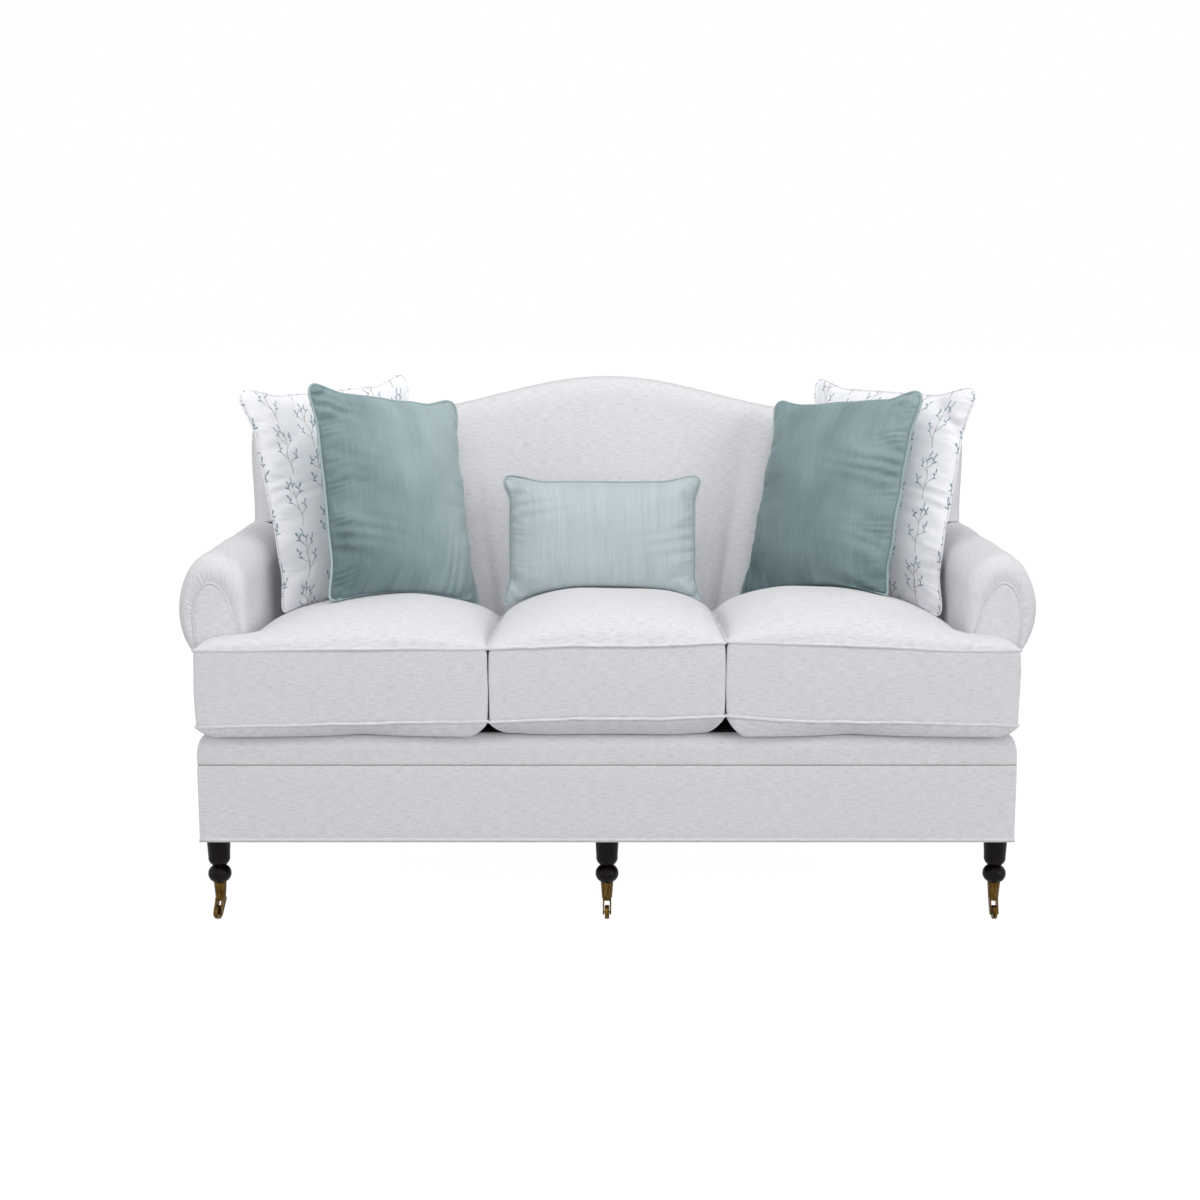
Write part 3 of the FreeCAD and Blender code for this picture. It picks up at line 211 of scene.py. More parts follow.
def grid_piece(name: str, strips: list, wrap: bool = True, turn: bool = False) -> bpy.types.Object:
    """Sew strips of a surface into one piece.

    Each strip is a grid of places with the cloth's own coordinates in metres. Strips share their
    border rows, so the weave may jump at a seam while the surface goes on.

    Args:
        name: the piece's name.
        strips: pairs of places, rows by columns by 3, and cloth coordinates, rows by columns by 2.
        wrap: closes each row, and the places then come without their last column.
        turn: swaps the side that faces outwards.

    Returns:
        The piece.
    """
    places, cloths, faces, total = [], [], [], 0
    for points, cloth in strips:
        if wrap:
            points = wrapped(points)
        rows, columns = points.shape[:2]
        faces.append(quads(np.arange(rows * columns).reshape(rows, columns) + total))
        places.append(points.reshape(-1, 3))
        cloths.append(np.broadcast_to(cloth, (rows, columns, 2)).reshape(-1, 2))
        total += rows * columns
    faces = np.concatenate(faces)
    if turn:
        faces = faces[:, ::-1]
    mesh = cloth_mesh(name, np.concatenate(places), faces, np.concatenate(cloths)[faces.ravel()])
    weld(mesh)
    return add_piece(name, mesh)


def tube_piece(name: str, line: np.ndarray, radius: float, sides: int = 8) -> bpy.types.Object:
    """A closed cord of cloth along a closed line, such as a piping.

    Each ring is a circle square to the line, carried round without twist by keeping one of its
    axes as near as it can be to the sofa's depth.

    Args:
        name: the piece's name.
        line: the closed line, count by 3.
        radius: the cord's radius in metres.
        sides: points round the cord.

    Returns:
        The piece.
    """
    way = np.roll(line, -1, 0) - np.roll(line, 1, 0)
    way /= np.linalg.norm(way, axis=1, keepdims=True)
    near_depth = (0.13, 1.0, 0.09)
    across = np.cross(way, np.broadcast_to(near_depth, way.shape))
    across /= np.linalg.norm(across, axis=1, keepdims=True)
    up = np.cross(across, way)
    angle = np.linspace(0, 2 * math.pi, sides, endpoint=False)[:, None, None]
    rings = line + radius * (np.cos(angle) * across + np.sin(angle) * up)
    turn = np.linspace(0, 2 * math.pi * radius, sides + 1)
    cloth = np.stack(np.broadcast_arrays(loop_length(line)[None, :], turn[:, None]), -1)
    return grid_piece(name, [(np.concatenate([rings, rings[:1]]), cloth)])


# Materials.

def linear(colour: str) -> tuple:
    """Turn an sRGB hex colour into linear values with full alpha."""
    parts = [int(colour[place:place + 2], 16) / 255 for place in (1, 3, 5)]
    return tuple(part / 12.92 if part <= 0.04045 else ((part + 0.055) / 1.055) ** 2.4
                 for part in parts) + (1.0,)


def add_node(tree: bpy.types.NodeTree, kind: str, inputs: dict | None = None, stops: tuple = (),
             **settings: object) -> bpy.types.Node:
    """Add a node with its settings and links.

    Args:
        tree: the material's tree.
        kind: the node's type, without the ShaderNode that each name starts with.
        inputs: by name or number, values or what feeds them: a socket, or a node by its first output.
        stops: for a node that turns a factor into colours, its places and sRGB hex colours.
        settings: properties by name.

    Returns:
        The node.
    """
    node = tree.nodes.new("ShaderNode" + kind)
    for name, value in settings.items():
        setattr(node, name, value)
    for key, value in (inputs or {}).items():
        if isinstance(value, bpy.types.Node):
            value = value.outputs[0]
        if isinstance(value, bpy.types.NodeSocket):
            tree.links.new(value, node.inputs[key])
        else:
            node.inputs[key].default_value = value
    if stops:
        first, last = node.color_ramp.elements
        first.position, last.position = stops[0][0], stops[-1][0]
        first.color, last.color = linear(stops[0][1]), linear(stops[-1][1])
        for place, colour in stops[1:-1]:
            node.color_ramp.elements.new(place).color = linear(colour)
    return node


def empty_material(name: str) -> tuple:
    """A new material and its empty tree."""
    material = bpy.data.materials.new(name)
    material.use_nodes = True
    material.node_tree.nodes.clear()
    return material, material.node_tree


def streaks(tree: bpy.types.NodeTree, cloth: bpy.types.Node, across_mm: float, along_mm: float,
            detail: float = 2.0) -> bpy.types.Node:
    """Noise drawn out along the threads: cells across_mm by along_mm in the cloth's coordinates."""
    scale = (1000 / across_mm, 1000 / along_mm, 1.0)
    stretch = add_node(tree, "Mapping", {"Vector": cloth, "Scale": scale})
    return add_node(tree, "TexNoise", {"Vector": stretch, "Scale": 1.0, "Detail": detail, "Roughness": 0.55},
                    noise_dimensions="2D")


@dataclass(frozen=True)
class ClothFinish:
    """What the cloths share: a pattern in the cover's own coordinates, its relief, and a sheen."""
    name: str
    roughness: float
    relief: float
    relief_depth: float
    sheen: float
    sheen_roughness: float
    specular: float
    sheen_tint: str = "#FFFFFF"

    def pattern(self, tree: bpy.types.NodeTree, cloth: bpy.types.Node) -> tuple:
        """What feeds the colour and what feeds the relief."""
        raise NotImplementedError

    def build(self) -> bpy.types.Material:
        """Make the cloth's material."""
        material, tree = empty_material(self.name)
        colour, height = self.pattern(tree, add_node(tree, "UVMap", uv_map="cloth"))
        bump = add_node(tree, "Bump", {"Height": height, "Strength": self.relief,
                                       "Distance": self.relief_depth})
        shader = add_node(tree, "BsdfPrincipled", {
            "Base Color": colour, "Roughness": self.roughness, "Normal": bump, "Sheen Weight": self.sheen,
            "Sheen Roughness": self.sheen_roughness, "Sheen Tint": linear(self.sheen_tint),
            "Specular IOR Level": self.specular})
        add_node(tree, "OutputMaterial", {"Surface": shader})
        return material


@dataclass(frozen=True)
class SlubLinen(ClothFinish):
    """Off-white linen weave with thick and thin weft yarns, which give it fine level streaks.

    The yarns are near 0.9 mm, too fine for the render, so the streaks are drawn about 2 mm high.
    """
    name: str = "slub_linen"
    roughness: float = 0.88
    relief: float = 0.35
    relief_depth: float = 0.0012
    sheen: float = 0.12
    sheen_roughness: float = 0.5
    specular: float = 0.25
    light: str = "#E0E0E4"
    warm: str = "#DAD9DC"
    dark: str = "#D2D0D3"
    yarn_mm: float = 1.9
    weft_run_mm: float = 20.0
    warp_run_mm: float = 14.0
    warp_share: float = 0.36
    detail: float = 0.6

    def pattern(self, tree: bpy.types.NodeTree, cloth: bpy.types.Node) -> tuple:
        """Weft streaks with some warp streaks among them."""
        weave = add_node(tree, "Mix", {
            0: self.warp_share, 2: streaks(tree, cloth, self.weft_run_mm, self.yarn_mm, self.detail),
            3: streaks(tree, cloth, self.yarn_mm, self.warp_run_mm, self.detail)})
        stops = ((0.30, self.dark), (0.46, self.warm), (0.62, self.light))
        return add_node(tree, "ValToRGB", {"Fac": weave}, stops), weave


@dataclass(frozen=True)
class CutVelvet(ClothFinish):
    """Sage velvet: short dense pile and brushed streaks, with painted light and shade across each pillow,
    darker towards one side and paler towards the other.
    """
    name: str = "cut_velvet"
    roughness: float = 0.75
    relief: float = 0.12
    relief_depth: float = 0.0006
    sheen: float = 0.4
    sheen_roughness: float = 0.3
    specular: float = 0.2
    sheen_tint: str = "#CFE0E2"
    # Dark, middle and pale tones of the pile; the dark and pale ends also carry the painted shade and the
    # painted light.
    foot: str = "#63777A"
    base: str = "#84989B"
    pale_pile_and_painted_light: str = "#A2B4B6"
    pile_mm: float = 1.6
    # Hand strokes, broad and narrow, and the share of the narrow ones.
    broad_mm: tuple = (120.0, 160.0)
    narrow_mm: tuple = (5.0, 60.0)
    narrow_share: float = 0.3
    pile_share: float = 0.14
    # Painted light and shade across the pillow: the way in which it grows paler, and where it is half way, in
    # metres; then half its span, and its share of the tone.
    painted_light_way: tuple = (0.85, 0.38, 0)
    painted_light_middle: float = -0.055
    painted_light_half_span: float = 0.24
    painted_light_share: float = 0.55

    def pattern(self, tree: bpy.types.NodeTree, cloth: bpy.types.Node) -> tuple:
        """Brushed streaks and pile, with painted light and shade that grows paler along one way across the
        pillow.
        """
        brushed = add_node(tree, "Mix", {0: self.narrow_share, 2: streaks(tree, cloth, *self.broad_mm, 1.0),
                                         3: streaks(tree, cloth, *self.narrow_mm)})
        pile = streaks(tree, cloth, self.pile_mm, self.pile_mm, 1.0)
        nap = add_node(tree, "Mix", {0: self.pile_share, 2: brushed, 3: pile})
        # Painted light and shade: a ramp along one way across the pillow, mixed into the pile's tone.
        painted_light_reach = add_node(tree, "VectorMath", {0: cloth, 1: self.painted_light_way}, operation="DOT_PRODUCT")
        lean = add_node(tree, "MapRange", {
            "Value": painted_light_reach.outputs["Value"], "From Min": self.painted_light_middle - self.painted_light_half_span,
            "From Max": self.painted_light_middle + self.painted_light_half_span})
        tone = add_node(tree, "Mix", {0: self.painted_light_share, 2: nap, 3: lean})
        stops = ((0.3, self.foot), (0.5, self.base), (0.7, self.pale_pile_and_painted_light))
        return add_node(tree, "ValToRGB", {"Fac": tone}, stops), pile


@dataclass(frozen=True)
class StrieSilk(ClothFinish):
    """Pale aqua silk satin with upright streaks of slightly darker and lighter yarn."""
    name: str = "strie_silk"
    roughness: float = 0.46
    relief: float = 0.14
    relief_depth: float = 0.0008
    sheen: float = 0.3
    sheen_roughness: float = 0.35
    specular: float = 0.4
    sheen_tint: str = "#E8F4F6"
    dark: str = "#A5B1B3"
    base: str = "#AEB9BD"
    light: str = "#B6C1C6"
    fine_mm: tuple = (2.4, 130.0)
    broad_mm: tuple = (22.0, 260.0)
    broad_share: float = 0.35

    def pattern(self, tree: bpy.types.NodeTree, cloth: bpy.types.Node) -> tuple:
        """Fine streaks with some broad ones among them."""
        fine = streaks(tree, cloth, *self.fine_mm)
        tone = add_node(tree, "Mix", {0: self.broad_share, 2: fine, 3: streaks(tree, cloth, *self.broad_mm)})
        stops = ((0.3, self.dark), (0.5, self.base), (0.7, self.light))
        return add_node(tree, "ValToRGB", {"Fac": tone}, stops), fine


@dataclass(frozen=True)
class SprigPrint(ClothFinish):
    """White plain weave printed with slender taupe sprigs that end in small teal leaves.

    One sprig is drawn in a repeat, each line and leaf as a distance from a short run, and the
    repeat is set in half drop, so that each column starts half a repeat lower than the last.
    """
    name: str = "sprig_print"
    roughness: float = 0.85
    relief: float = 0.2
    relief_depth: float = 0.0008
    sheen: float = 0.1
    sheen_roughness: float = 0.5
    specular: float = 0.25
    ground: str = "#F8F8FC"
    ground_shade: str = "#EDEDF2"
    stem: str = "#A89C96"
    leaf: str = "#7B95A0"
    pale_leaf: str = "#A7B9C2"
    drawn_at: float = 0.80
    repeat_across: float = 0.0736
    repeat_up: float = 0.120
    # Half the width of a stem and of a leaf, and how far the edge of each fades, in metres.
    stem_half: float = 0.0004
    stem_fade: float = 0.0006
    leaf_half: float = 0.0013
    leaf_fade: float = 0.0007
    # The hand's wander: noise cells to the metre, and its reach in metres.
    wander_scale: float = 26.0
    wander: tuple = (0.016, 0.016, 0)
    yarn_mm: float = 1.4
    run_mm: float = 9.0
    dye_mm: float = 15.0
    # Runs of the sprig in millimetres from the repeat's lower left corner.
    stems: tuple = ((46, -10, 43, 25), (43, 25, 47, 60), (47, 60, 44, 95), (44, 95, 50, 130),
                    (43, 25, 26, 47), (26, 47, 20, 66), (45, 42, 63, 60), (63, 60, 68, 80),
                    (46, 76, 30, 96), (30, 96, 27, 112), (45, 88, 62, 108), (62, 108, 64, 122))
    leaves: tuple = ((20, 66, 17, 75), (26, 47, 20, 51), (23, 56, 29, 63), (68, 80, 72, 89),
                     (63, 60, 70, 63), (66, 70, 61, 77), (27, 112, 24, 121), (30, 96, 23, 99),
                     (28, 104, 34, 111), (64, 122, 68, 131), (62, 108, 69, 111), (63, 114, 58, 121),
                     (50, 130, 53, 140), (47, 112, 40, 119), (48, 118, 55, 124))

    def drawn(self, tree: bpy.types.NodeTree, place: bpy.types.Node, runs: tuple, half: float,
              fade: float) -> bpy.types.Node:
        """Ink on a set of runs: 1 within half of the nearest run, fading to 0.

        The distance from a run is that from the foot of the place's offset on it, which is clipped
        to the run's ends.

        Args:
            tree: the material's tree.
            place: the place in the repeat.
            runs: the ends of each run in millimetres.
            half: half the width of the line that is drawn.
            fade: how far its edge fades.

        Returns:
            The node that gives the ink.
        """
        least = None
        for run in runs:
            start = Vector((run[0], run[1], 0)) * MM * self.drawn_at
            way = Vector((run[2], run[3], 0)) * MM * self.drawn_at - start
            offset = add_node(tree, "VectorMath", {0: place, 1: start}, operation="SUBTRACT")
            along = add_node(tree, "VectorMath", {0: offset, 1: way / way.length_squared},
                             operation="DOT_PRODUCT")
            share = add_node(tree, "Clamp", {"Value": along.outputs["Value"]})
            foot = add_node(tree, "VectorMath", {0: way, "Scale": share}, operation="SCALE")
            apart = add_node(tree, "VectorMath", {0: offset, 1: foot}, operation="DISTANCE")
            here = add_node(tree, "Math", {0: apart.outputs["Value"], 1: half}, operation="SUBTRACT")
            if least is not None:
                here = add_node(tree, "Math", {0: least, 1: here}, operation="MINIMUM")
            least = here
        return add_node(tree, "MapRange", {"Value": least, "From Min": fade, "From Max": 0.0},
                        interpolation_type="SMOOTHSTEP")

    def repeated(self, tree: bpy.types.NodeTree, cloth: bpy.types.Node) -> bpy.types.Node:
        """Fold the cloth's coordinates into one repeat, in half drop, with every other column turned over."""
        parts = add_node(tree, "SeparateXYZ", {0: cloth})
        column = add_node(tree, "Math", {0: parts, 1: self.repeat_across}, operation="DIVIDE")
        number = add_node(tree, "Math", {0: column}, operation="FLOOR")
        odd = add_node(tree, "Math", {0: number, 1: 1.0}, operation="PINGPONG")
        shift = add_node(tree, "Math", {0: odd, 1: self.repeat_up / 2, 2: parts.outputs[1]},
                         operation="MULTIPLY_ADD")
        across = add_node(tree, "Math", {0: parts, 1: self.repeat_across}, operation="FLOORED_MODULO")
        up = add_node(tree, "Math", {0: shift, 1: self.repeat_up}, operation="FLOORED_MODULO")
        back = add_node(tree, "Math", {0: self.repeat_across, 1: across}, operation="SUBTRACT")
        turned = add_node(tree, "Mix", {0: odd, 2: across, 3: back})
        return add_node(tree, "CombineXYZ", {0: turned, 1: up})

    def pattern(self, tree: bpy.types.NodeTree, cloth: bpy.types.Node) -> tuple:
        """Stems, and leaves over them, on a plain weave."""
        noise = add_node(tree, "TexNoise", {"Vector": cloth, "Scale": self.wander_scale, "Detail": 2.0},
                         noise_dimensions="2D")
        centred = add_node(tree, "VectorMath", {0: noise.outputs["Color"], 1: (0.5, 0.5, 0.5)},
                           operation="SUBTRACT")
        moved = add_node(tree, "VectorMath", {0: centred, 1: self.wander, 2: cloth}, operation="MULTIPLY_ADD")
        place = self.repeated(tree, moved)
        weave = add_node(tree, "Mix", {0: 0.5, 2: streaks(tree, cloth, self.run_mm, self.yarn_mm),
                                       3: streaks(tree, cloth, self.yarn_mm, self.run_mm)})
        colour = add_node(tree, "ValToRGB", {"Fac": weave}, ((0.3, self.ground_shade), (0.6, self.ground)))
        dyed = add_node(tree, "ValToRGB", {"Fac": streaks(tree, cloth, self.dye_mm, self.dye_mm)},
                        ((0.38, self.leaf), (0.6, self.pale_leaf)))
        for ink, runs, half, fade in ((linear(self.stem), self.stems, self.stem_half, self.stem_fade),
                                      (dyed, self.leaves, self.leaf_half, self.leaf_fade)):
            mixed = add_node(tree, "Mix", {0: self.drawn(tree, place, runs, half, fade), 6: colour, 7: ink},
                             data_type="RGBA")
            colour = mixed.outputs[2]
        return colour, weave


@dataclass(frozen=True)
class PlainFinish:
    """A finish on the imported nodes, whose pattern follows the sofa's own coordinates."""
    name: str
    dark: str
    light: str
    grain_mm: tuple
    roughness: float
    metallic: float = 0.0
    bump: float = 0.1
    coat: float = 0.0
    specular: float = 0.5
    coat_roughness: float = 0.2
    relief_depth: float = 0.0006

    def build(self) -> bpy.types.Material:
        """Make the finish: noise stretched to the grain colours it and dents it a little."""
        material, tree = empty_material(self.name)
        place = add_node(tree, "TexCoord").outputs["Object"]
        scaled = add_node(tree, "Mapping", {"Vector": place,
                                            "Scale": tuple(1000 / length for length in self.grain_mm)})
        noise = add_node(tree, "TexNoise", {"Vector": scaled, "Scale": 1.0, "Detail": 4.0, "Roughness": 0.6})
        colour = add_node(tree, "ValToRGB", {"Fac": noise}, ((0.34, self.dark), (0.68, self.light)))
        rough = add_node(tree, "MapRange", {"Value": noise, "To Min": self.roughness * 0.8,
                                            "To Max": self.roughness * 1.2})
        bump = add_node(tree, "Bump", {"Height": noise, "Strength": self.bump, "Distance": self.relief_depth})
        shader = add_node(tree, "BsdfPrincipled", {
            "Base Color": colour, "Roughness": rough, "Metallic": self.metallic, "Normal": bump,
            "Coat Weight": self.coat, "Coat Roughness": self.coat_roughness,
            "Specular IOR Level": self.specular})
        add_node(tree, "OutputMaterial", {"Surface": shader})
        return material


@dataclass
class Wardrobe:
    """Every finish, made once and handed to the pieces."""
    made: dict = field(default_factory=dict)

    def build(self) -> None:
        """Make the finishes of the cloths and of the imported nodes."""
        # The right velvet pillow gets a copy of the velvet whose painted light and shade run another way.
        turned = CutVelvet("cut_velvet_right_painted_light", painted_light_way=(0.25, 0.36, 0), painted_light_middle=0.060)
        black = PlainFinish("black_decking", "#0A0A0B", "#17171A", (1.2, 1.2, 1.2), 0.9, bump=0.3)
        finishes = {
            Fabric.LINEN: SlubLinen(), Fabric.VELVET: CutVelvet(), "velvet_pillow_right": turned,
            Fabric.SILK: StrieSilk(), Fabric.PRINT: SprigPrint(), Fabric.BLACK: black,
            # Beech as sawn: pale tan with grain along the sofa.
            "frame_timber": PlainFinish("sawn_beech", "#A5825A", "#C9A77A", (90, 6, 6), 0.7),
            # Wood turned and lacquered in espresso: near black, with a faint satin shine.
            "dark_wood": PlainFinish("espresso_lacquer", "#080405", "#120A0B", (5, 5, 60), 0.42, coat=0.03,
                                     specular=0.10),
            # Cast brass left to age: dark in the hollows and golden where hands rub it.
            "aged_brass": PlainFinish("aged_brass", "#2A1F0E", "#74592C", (3, 3, 24), 0.36, 1.0, 0.08),
            # Zinc-plated steel: pale grey metal, a little dulled.
            "steel": PlainFinish("zinc_steel", "#8D9094", "#B8BCC0", (3, 3, 3), 0.35, 1.0),
            # Polyester fibre filling: off-white and quite matt.
            "filling": PlainFinish("polyester_filling", "#DAD8D2", "#F2F0EA", (8, 8, 8), 0.95, bump=0.4),
            # Woven jute: brown, coarse and matt.
            "jute": PlainFinish("jute_webbing", "#7E6238", "#A88A58", (2, 2, 2), 0.9, bump=0.4),
        }
        self.made = {slot: finish.build() for slot, finish in finishes.items()}
        self.made[Fabric.BLACK.value] = self.made[Fabric.BLACK]

    def dress_nodes(self) -> None:
        """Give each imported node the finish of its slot."""
        slots = {part["node"]: part["material_slot"] for part in frame["record"]["subparts"]}
        for name, node in frame["nodes"].items():
            material = self.made.get(slots[name])
            if material is not None:
                node.data.materials.clear()
                node.data.materials.append(material)

    def dress(self, piece: bpy.types.Object, body: str, fabric: Fabric, nodes: tuple = (),
              own: str = "") -> None:
        """Dress a piece and tie it to its body.

        Args:
            piece: the piece.
            body: the body that it rides on.
            fabric: its cloth, and the slot that it is listed under.
            nodes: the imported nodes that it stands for.
            own: the name of a finish of its own, where one is made.
        """
        piece.data.materials.append(self.made.get(own, self.made[fabric]))
        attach(piece, body)
        if nodes:
            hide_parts(*nodes)
        log.info("%s on %s, %d faces", piece.name, body, len(piece.data.polygons))


# Seat cushions.

@dataclass
class SeatCushion:
    """A boxed cushion: crowned top panel, boxing between two welts, and a rolled-under foot."""
    name: str
    side: int
    crown_rise: float
    top_seam: tuple
    foot_seam: tuple
    corner_tuck: float = 0.1
    inner: float = 0.2410
    crevice: float = 0.0013
    outer: float = 0.7464
    ear_end: float = 0.837
    ear_depth: float = 0.1036
    depth: float = 0.5264
    slope: float = 0.032
    foot: float = DECK + 0.0012
    foot_turn: float = 0.038
    rear_foot_seam: float = 0.439
    welt: float = 0.0030
    groove: float = 0.0030
    boxing_inset: float = 0.0006
    boxing_swell: float = 0.0016
    corner: float = 0.0034
    tuck_reach: float = 0.055
    columns: int = 430
    # The crown's crest: from front to back as a share, and across an outer cushion in metres.
    crest_share: float = 0.47
    crest_across: float = 0.455
    ear_rise: float = 0.028
    ear_start: float = 0.72
    ear_joins: tuple = (0.52, 0.70)
    # Power and root of each fall of the crown: along, to the inner side and to the outer side,
    # then the ear's own along and across.
    length_fall: tuple = (2.2, 0.52)
    inner_fall: tuple = (2.5, 0.55)
    outer_fall: tuple = (2.2, 0.60)
    ear_length_fall: tuple = (2.4, 0.5)
    ear_width_fall: tuple = (2.6, 0.5)

    def outline(self) -> np.ndarray:
        """The cushion seen from above, closed, columns by 2."""
        back = FRONT + self.depth
        if self.side == 0:
            half = self.inner - self.crevice
            corners = [(-half, FRONT), (half, FRONT), (half, back), (-half, back)]
        else:
            near = self.inner + self.crevice
            ear = FRONT + self.ear_depth
            corners = [(near, FRONT), (self.ear_end, FRONT), (self.ear_end, ear), (self.outer, ear),
                       (self.outer, back), (near, back)]
        line = round_line(corners, self.columns, self.corner)
        return line[::-1] * (-1, 1) if self.side < 0 else line

    def middle(self) -> np.ndarray:
        """The point from which every part of the outline can be seen."""
        if self.side == 0:
            return np.array((0.0, FRONT + self.depth / 2))
        return np.array((self.side * 0.50, FRONT + 0.075))

    def seam_height(self, table: tuple, across: np.ndarray) -> np.ndarray:
        """Height of a seam along the front, between the table's pairs of X and Z."""
        places, heights = np.array(table).T
        return np.interp(across, places, heights)

    def top_plane(self, across: np.ndarray, along: np.ndarray) -> np.ndarray:
        """Height of the top seam's surface, which falls to the back."""
        share = np.clip((along - FRONT) / self.depth, 0, 1)
        return self.seam_height(self.top_seam, across) - self.slope * share

    def crown(self, across: np.ndarray, along: np.ndarray) -> np.ndarray:
        """Rise of the top panel over its seam.

        Across and along, the rise follows a full superellipse. On an outer cushion the ear's own
        low crown is joined to it by the cube root of the sum of their cubes, which is nothing where
        both are nothing.
        """
        reach = across * (self.side or 1)
        deep = (along - FRONT) / self.depth
        crest = self.crest_share
        fall = np.where(deep < crest, (crest - deep) / crest, (deep - crest) / (1 - crest))
        length = superellipse(np.abs(fall), *self.length_fall)
        if self.side == 0:
            return self.crown_rise * superellipse(np.abs(reach) / self.inner, *self.inner_fall) * length
        top = self.crest_across
        width = (superellipse((top - reach) / (top - self.inner), *self.inner_fall)
                 * superellipse((reach - top) / (self.outer - top), *self.outer_fall))
        body = self.crown_rise * width * length
        ear_share = np.clip((along - FRONT) / self.ear_depth, 0, 1)
        ear_length = superellipse(np.abs(ear_share * 2 - 1), *self.ear_length_fall)
        ear_width = superellipse((reach - self.ear_start) / (self.ear_end - self.ear_start),
                                 *self.ear_width_fall)
        ear = self.ear_rise * ear_length * ear_width * smooth_step(*self.ear_joins, reach)
        return np.cbrt(body ** 3 + ear ** 3)

    def height(self, across: np.ndarray, along: np.ndarray) -> np.ndarray:
        """Height of the top panel at a place, or nothing outside the cushion."""
        reach = across * (self.side or 1)
        low = -self.inner if self.side == 0 else self.inner
        high = self.inner if self.side == 0 else self.outer
        inside = (reach > low) & (reach < high) & (along > FRONT) & (along < FRONT + self.depth)
        if self.side:
            ear = (reach >= high) & (reach < self.ear_end)
            inside = inside | (ear & (along > FRONT) & (along < FRONT + self.ear_depth))
        return np.where(inside, self.top_plane(across, along) + self.crown(across, along), 0)

    def build(self, wardrobe: Wardrobe) -> None:
        """Make the cushion's cover."""
        line = self.outline()
        reach, inward = spokes(line, self.middle())
        run = loop_length(line)
        # The seams fall a little to the back, and sewn welts wander a little.
        level = np.concatenate([line, line[:, :1] * 0], 1)
        back_share = np.clip((line[:, 1] - FRONT) / self.depth, 0, 1)
        low_seam = self.seam_height(self.foot_seam, line[:, 0])
        low_seam = low_seam + (self.rear_foot_seam - low_seam) * back_share
        low_seam = low_seam + ripple(level, wavelength=0.08, seed=61 + self.side, height=0.0008)
        high_seam = self.top_plane(line[:, 0], line[:, 1])
        high_seam = high_seam + ripple(level, wavelength=0.09, seed=67 + self.side, height=0.0008)
        # The cover is tucked further under at the front corners, between one cushion and the next.
        near = np.hypot(np.abs(line[:, 0]) - self.inner, line[:, 1] - FRONT)
        tuck = self.foot_turn * (1 + self.corner_tuck * bell(near, self.tuck_reach))

        def ring(inset: np.ndarray, height: np.ndarray) -> np.ndarray:
            """Rings of places at an inset from the outline and a height."""
            inset, height = np.broadcast_arrays(inset, height)
            return np.concatenate([line + inward * inset[..., None], height[..., None]], -1)

        def welt(seam: np.ndarray, start: float, stop: float, count: int) -> np.ndarray:
            """Rings round a welt between two angles in degrees."""
            bend = np.radians(np.linspace(start, stop, count))[:, None]
            return ring(-self.welt * np.cos(bend), seam + self.welt * np.sin(bend))

        def with_plan(points: np.ndarray) -> tuple:
            """A strip whose weave lies as seen from above."""
            return points, wrapped(points)[..., :2]

        def with_run(points: np.ndarray) -> tuple:
            """A strip whose weave runs round the cushion."""
            return points, np.stack(np.broadcast_arrays(run, wrapped(points)[..., 2]), -1)

        share = np.linspace(0, 1, 12)[:, None]
        flat = ring(reach - (reach - tuck) * share, self.foot)
        angle = np.linspace(0, math.pi / 2, 14)[:, None]
        # Half way between a quarter round and a slant.
        under = ring(tuck * (1 - np.sin(angle) + np.cos(angle)) / 2,
                     low_seam - self.welt - (low_seam - self.welt - self.foot) * np.cos(angle))
        under[-1] = ring(self.groove * 0.7, low_seam - self.welt * 1.1)
        low_welt = welt(low_seam, -70, 70, 7)
        # The boxing is full in its middle and drawn in where it is sewn to the welts.
        share = (1 - np.cos(np.linspace(0, math.pi, 30)))[:, None] / 2
        full = np.sin(math.pi * share)
        foot_edge = low_seam + self.welt * 1.1
        head_edge = high_seam - self.welt * 1.1
        drawn = self.groove * (0.7 * np.exp(-share / 0.016) + np.exp(-(1 - share) / 0.020))
        box = ring(self.boxing_inset - self.boxing_swell * full + drawn,
                   foot_edge + (head_edge - foot_edge) * share)
        dent = ripple(box, wavelength=0.11, seed=11 + self.side, height=0.0008) * full
        box[..., :2] += inward * dent[..., None]
        high_welt = welt(high_seam, -70, 115, 9)
        share = np.linspace(0, 1, 74)[:, None]
        edge = self.welt * 0.5
        inset = edge + (reach - edge) * (0.3 * share + 0.7 * (1 - np.cos(share * math.pi / 2)))
        inset[-1] = reach
        top = ring(inset, np.zeros_like(inset))
        level = top * (1, 1, 0)
        rise = self.crown(top[..., 0], top[..., 1])
        start = 1 - np.exp(-(inset - edge) / 0.004)
        pucker = ripple(level, wavelength=0.05, seed=31 + self.side, height=0.0009) * np.exp(-inset / 0.03)
        broad = ripple(level, wavelength=0.19, seed=47 + self.side, height=0.0022)
        broad = broad * smooth_step(0.0, 0.08, inset)
        lift = self.welt * 0.9 * np.exp(-inset / 0.006)
        top[..., 2] = self.top_plane(top[..., 0], top[..., 1]) + rise * start + pucker * start + broad + lift
        sides = np.concatenate([under[-1:], low_welt, box, high_welt])
        strips = [with_plan(flat), with_plan(under), with_run(sides),
                  with_plan(np.concatenate([high_welt[-1:], top]))]
        piece = grid_piece("seat_cover_" + self.name, strips, turn=self.side < 0)
        wardrobe.dress(piece, self.name + "_cushion", Fabric.LINEN,
                       ("seat_cushion_" + self.name, "seat_insert_" + self.name))


# Scatter pillows.

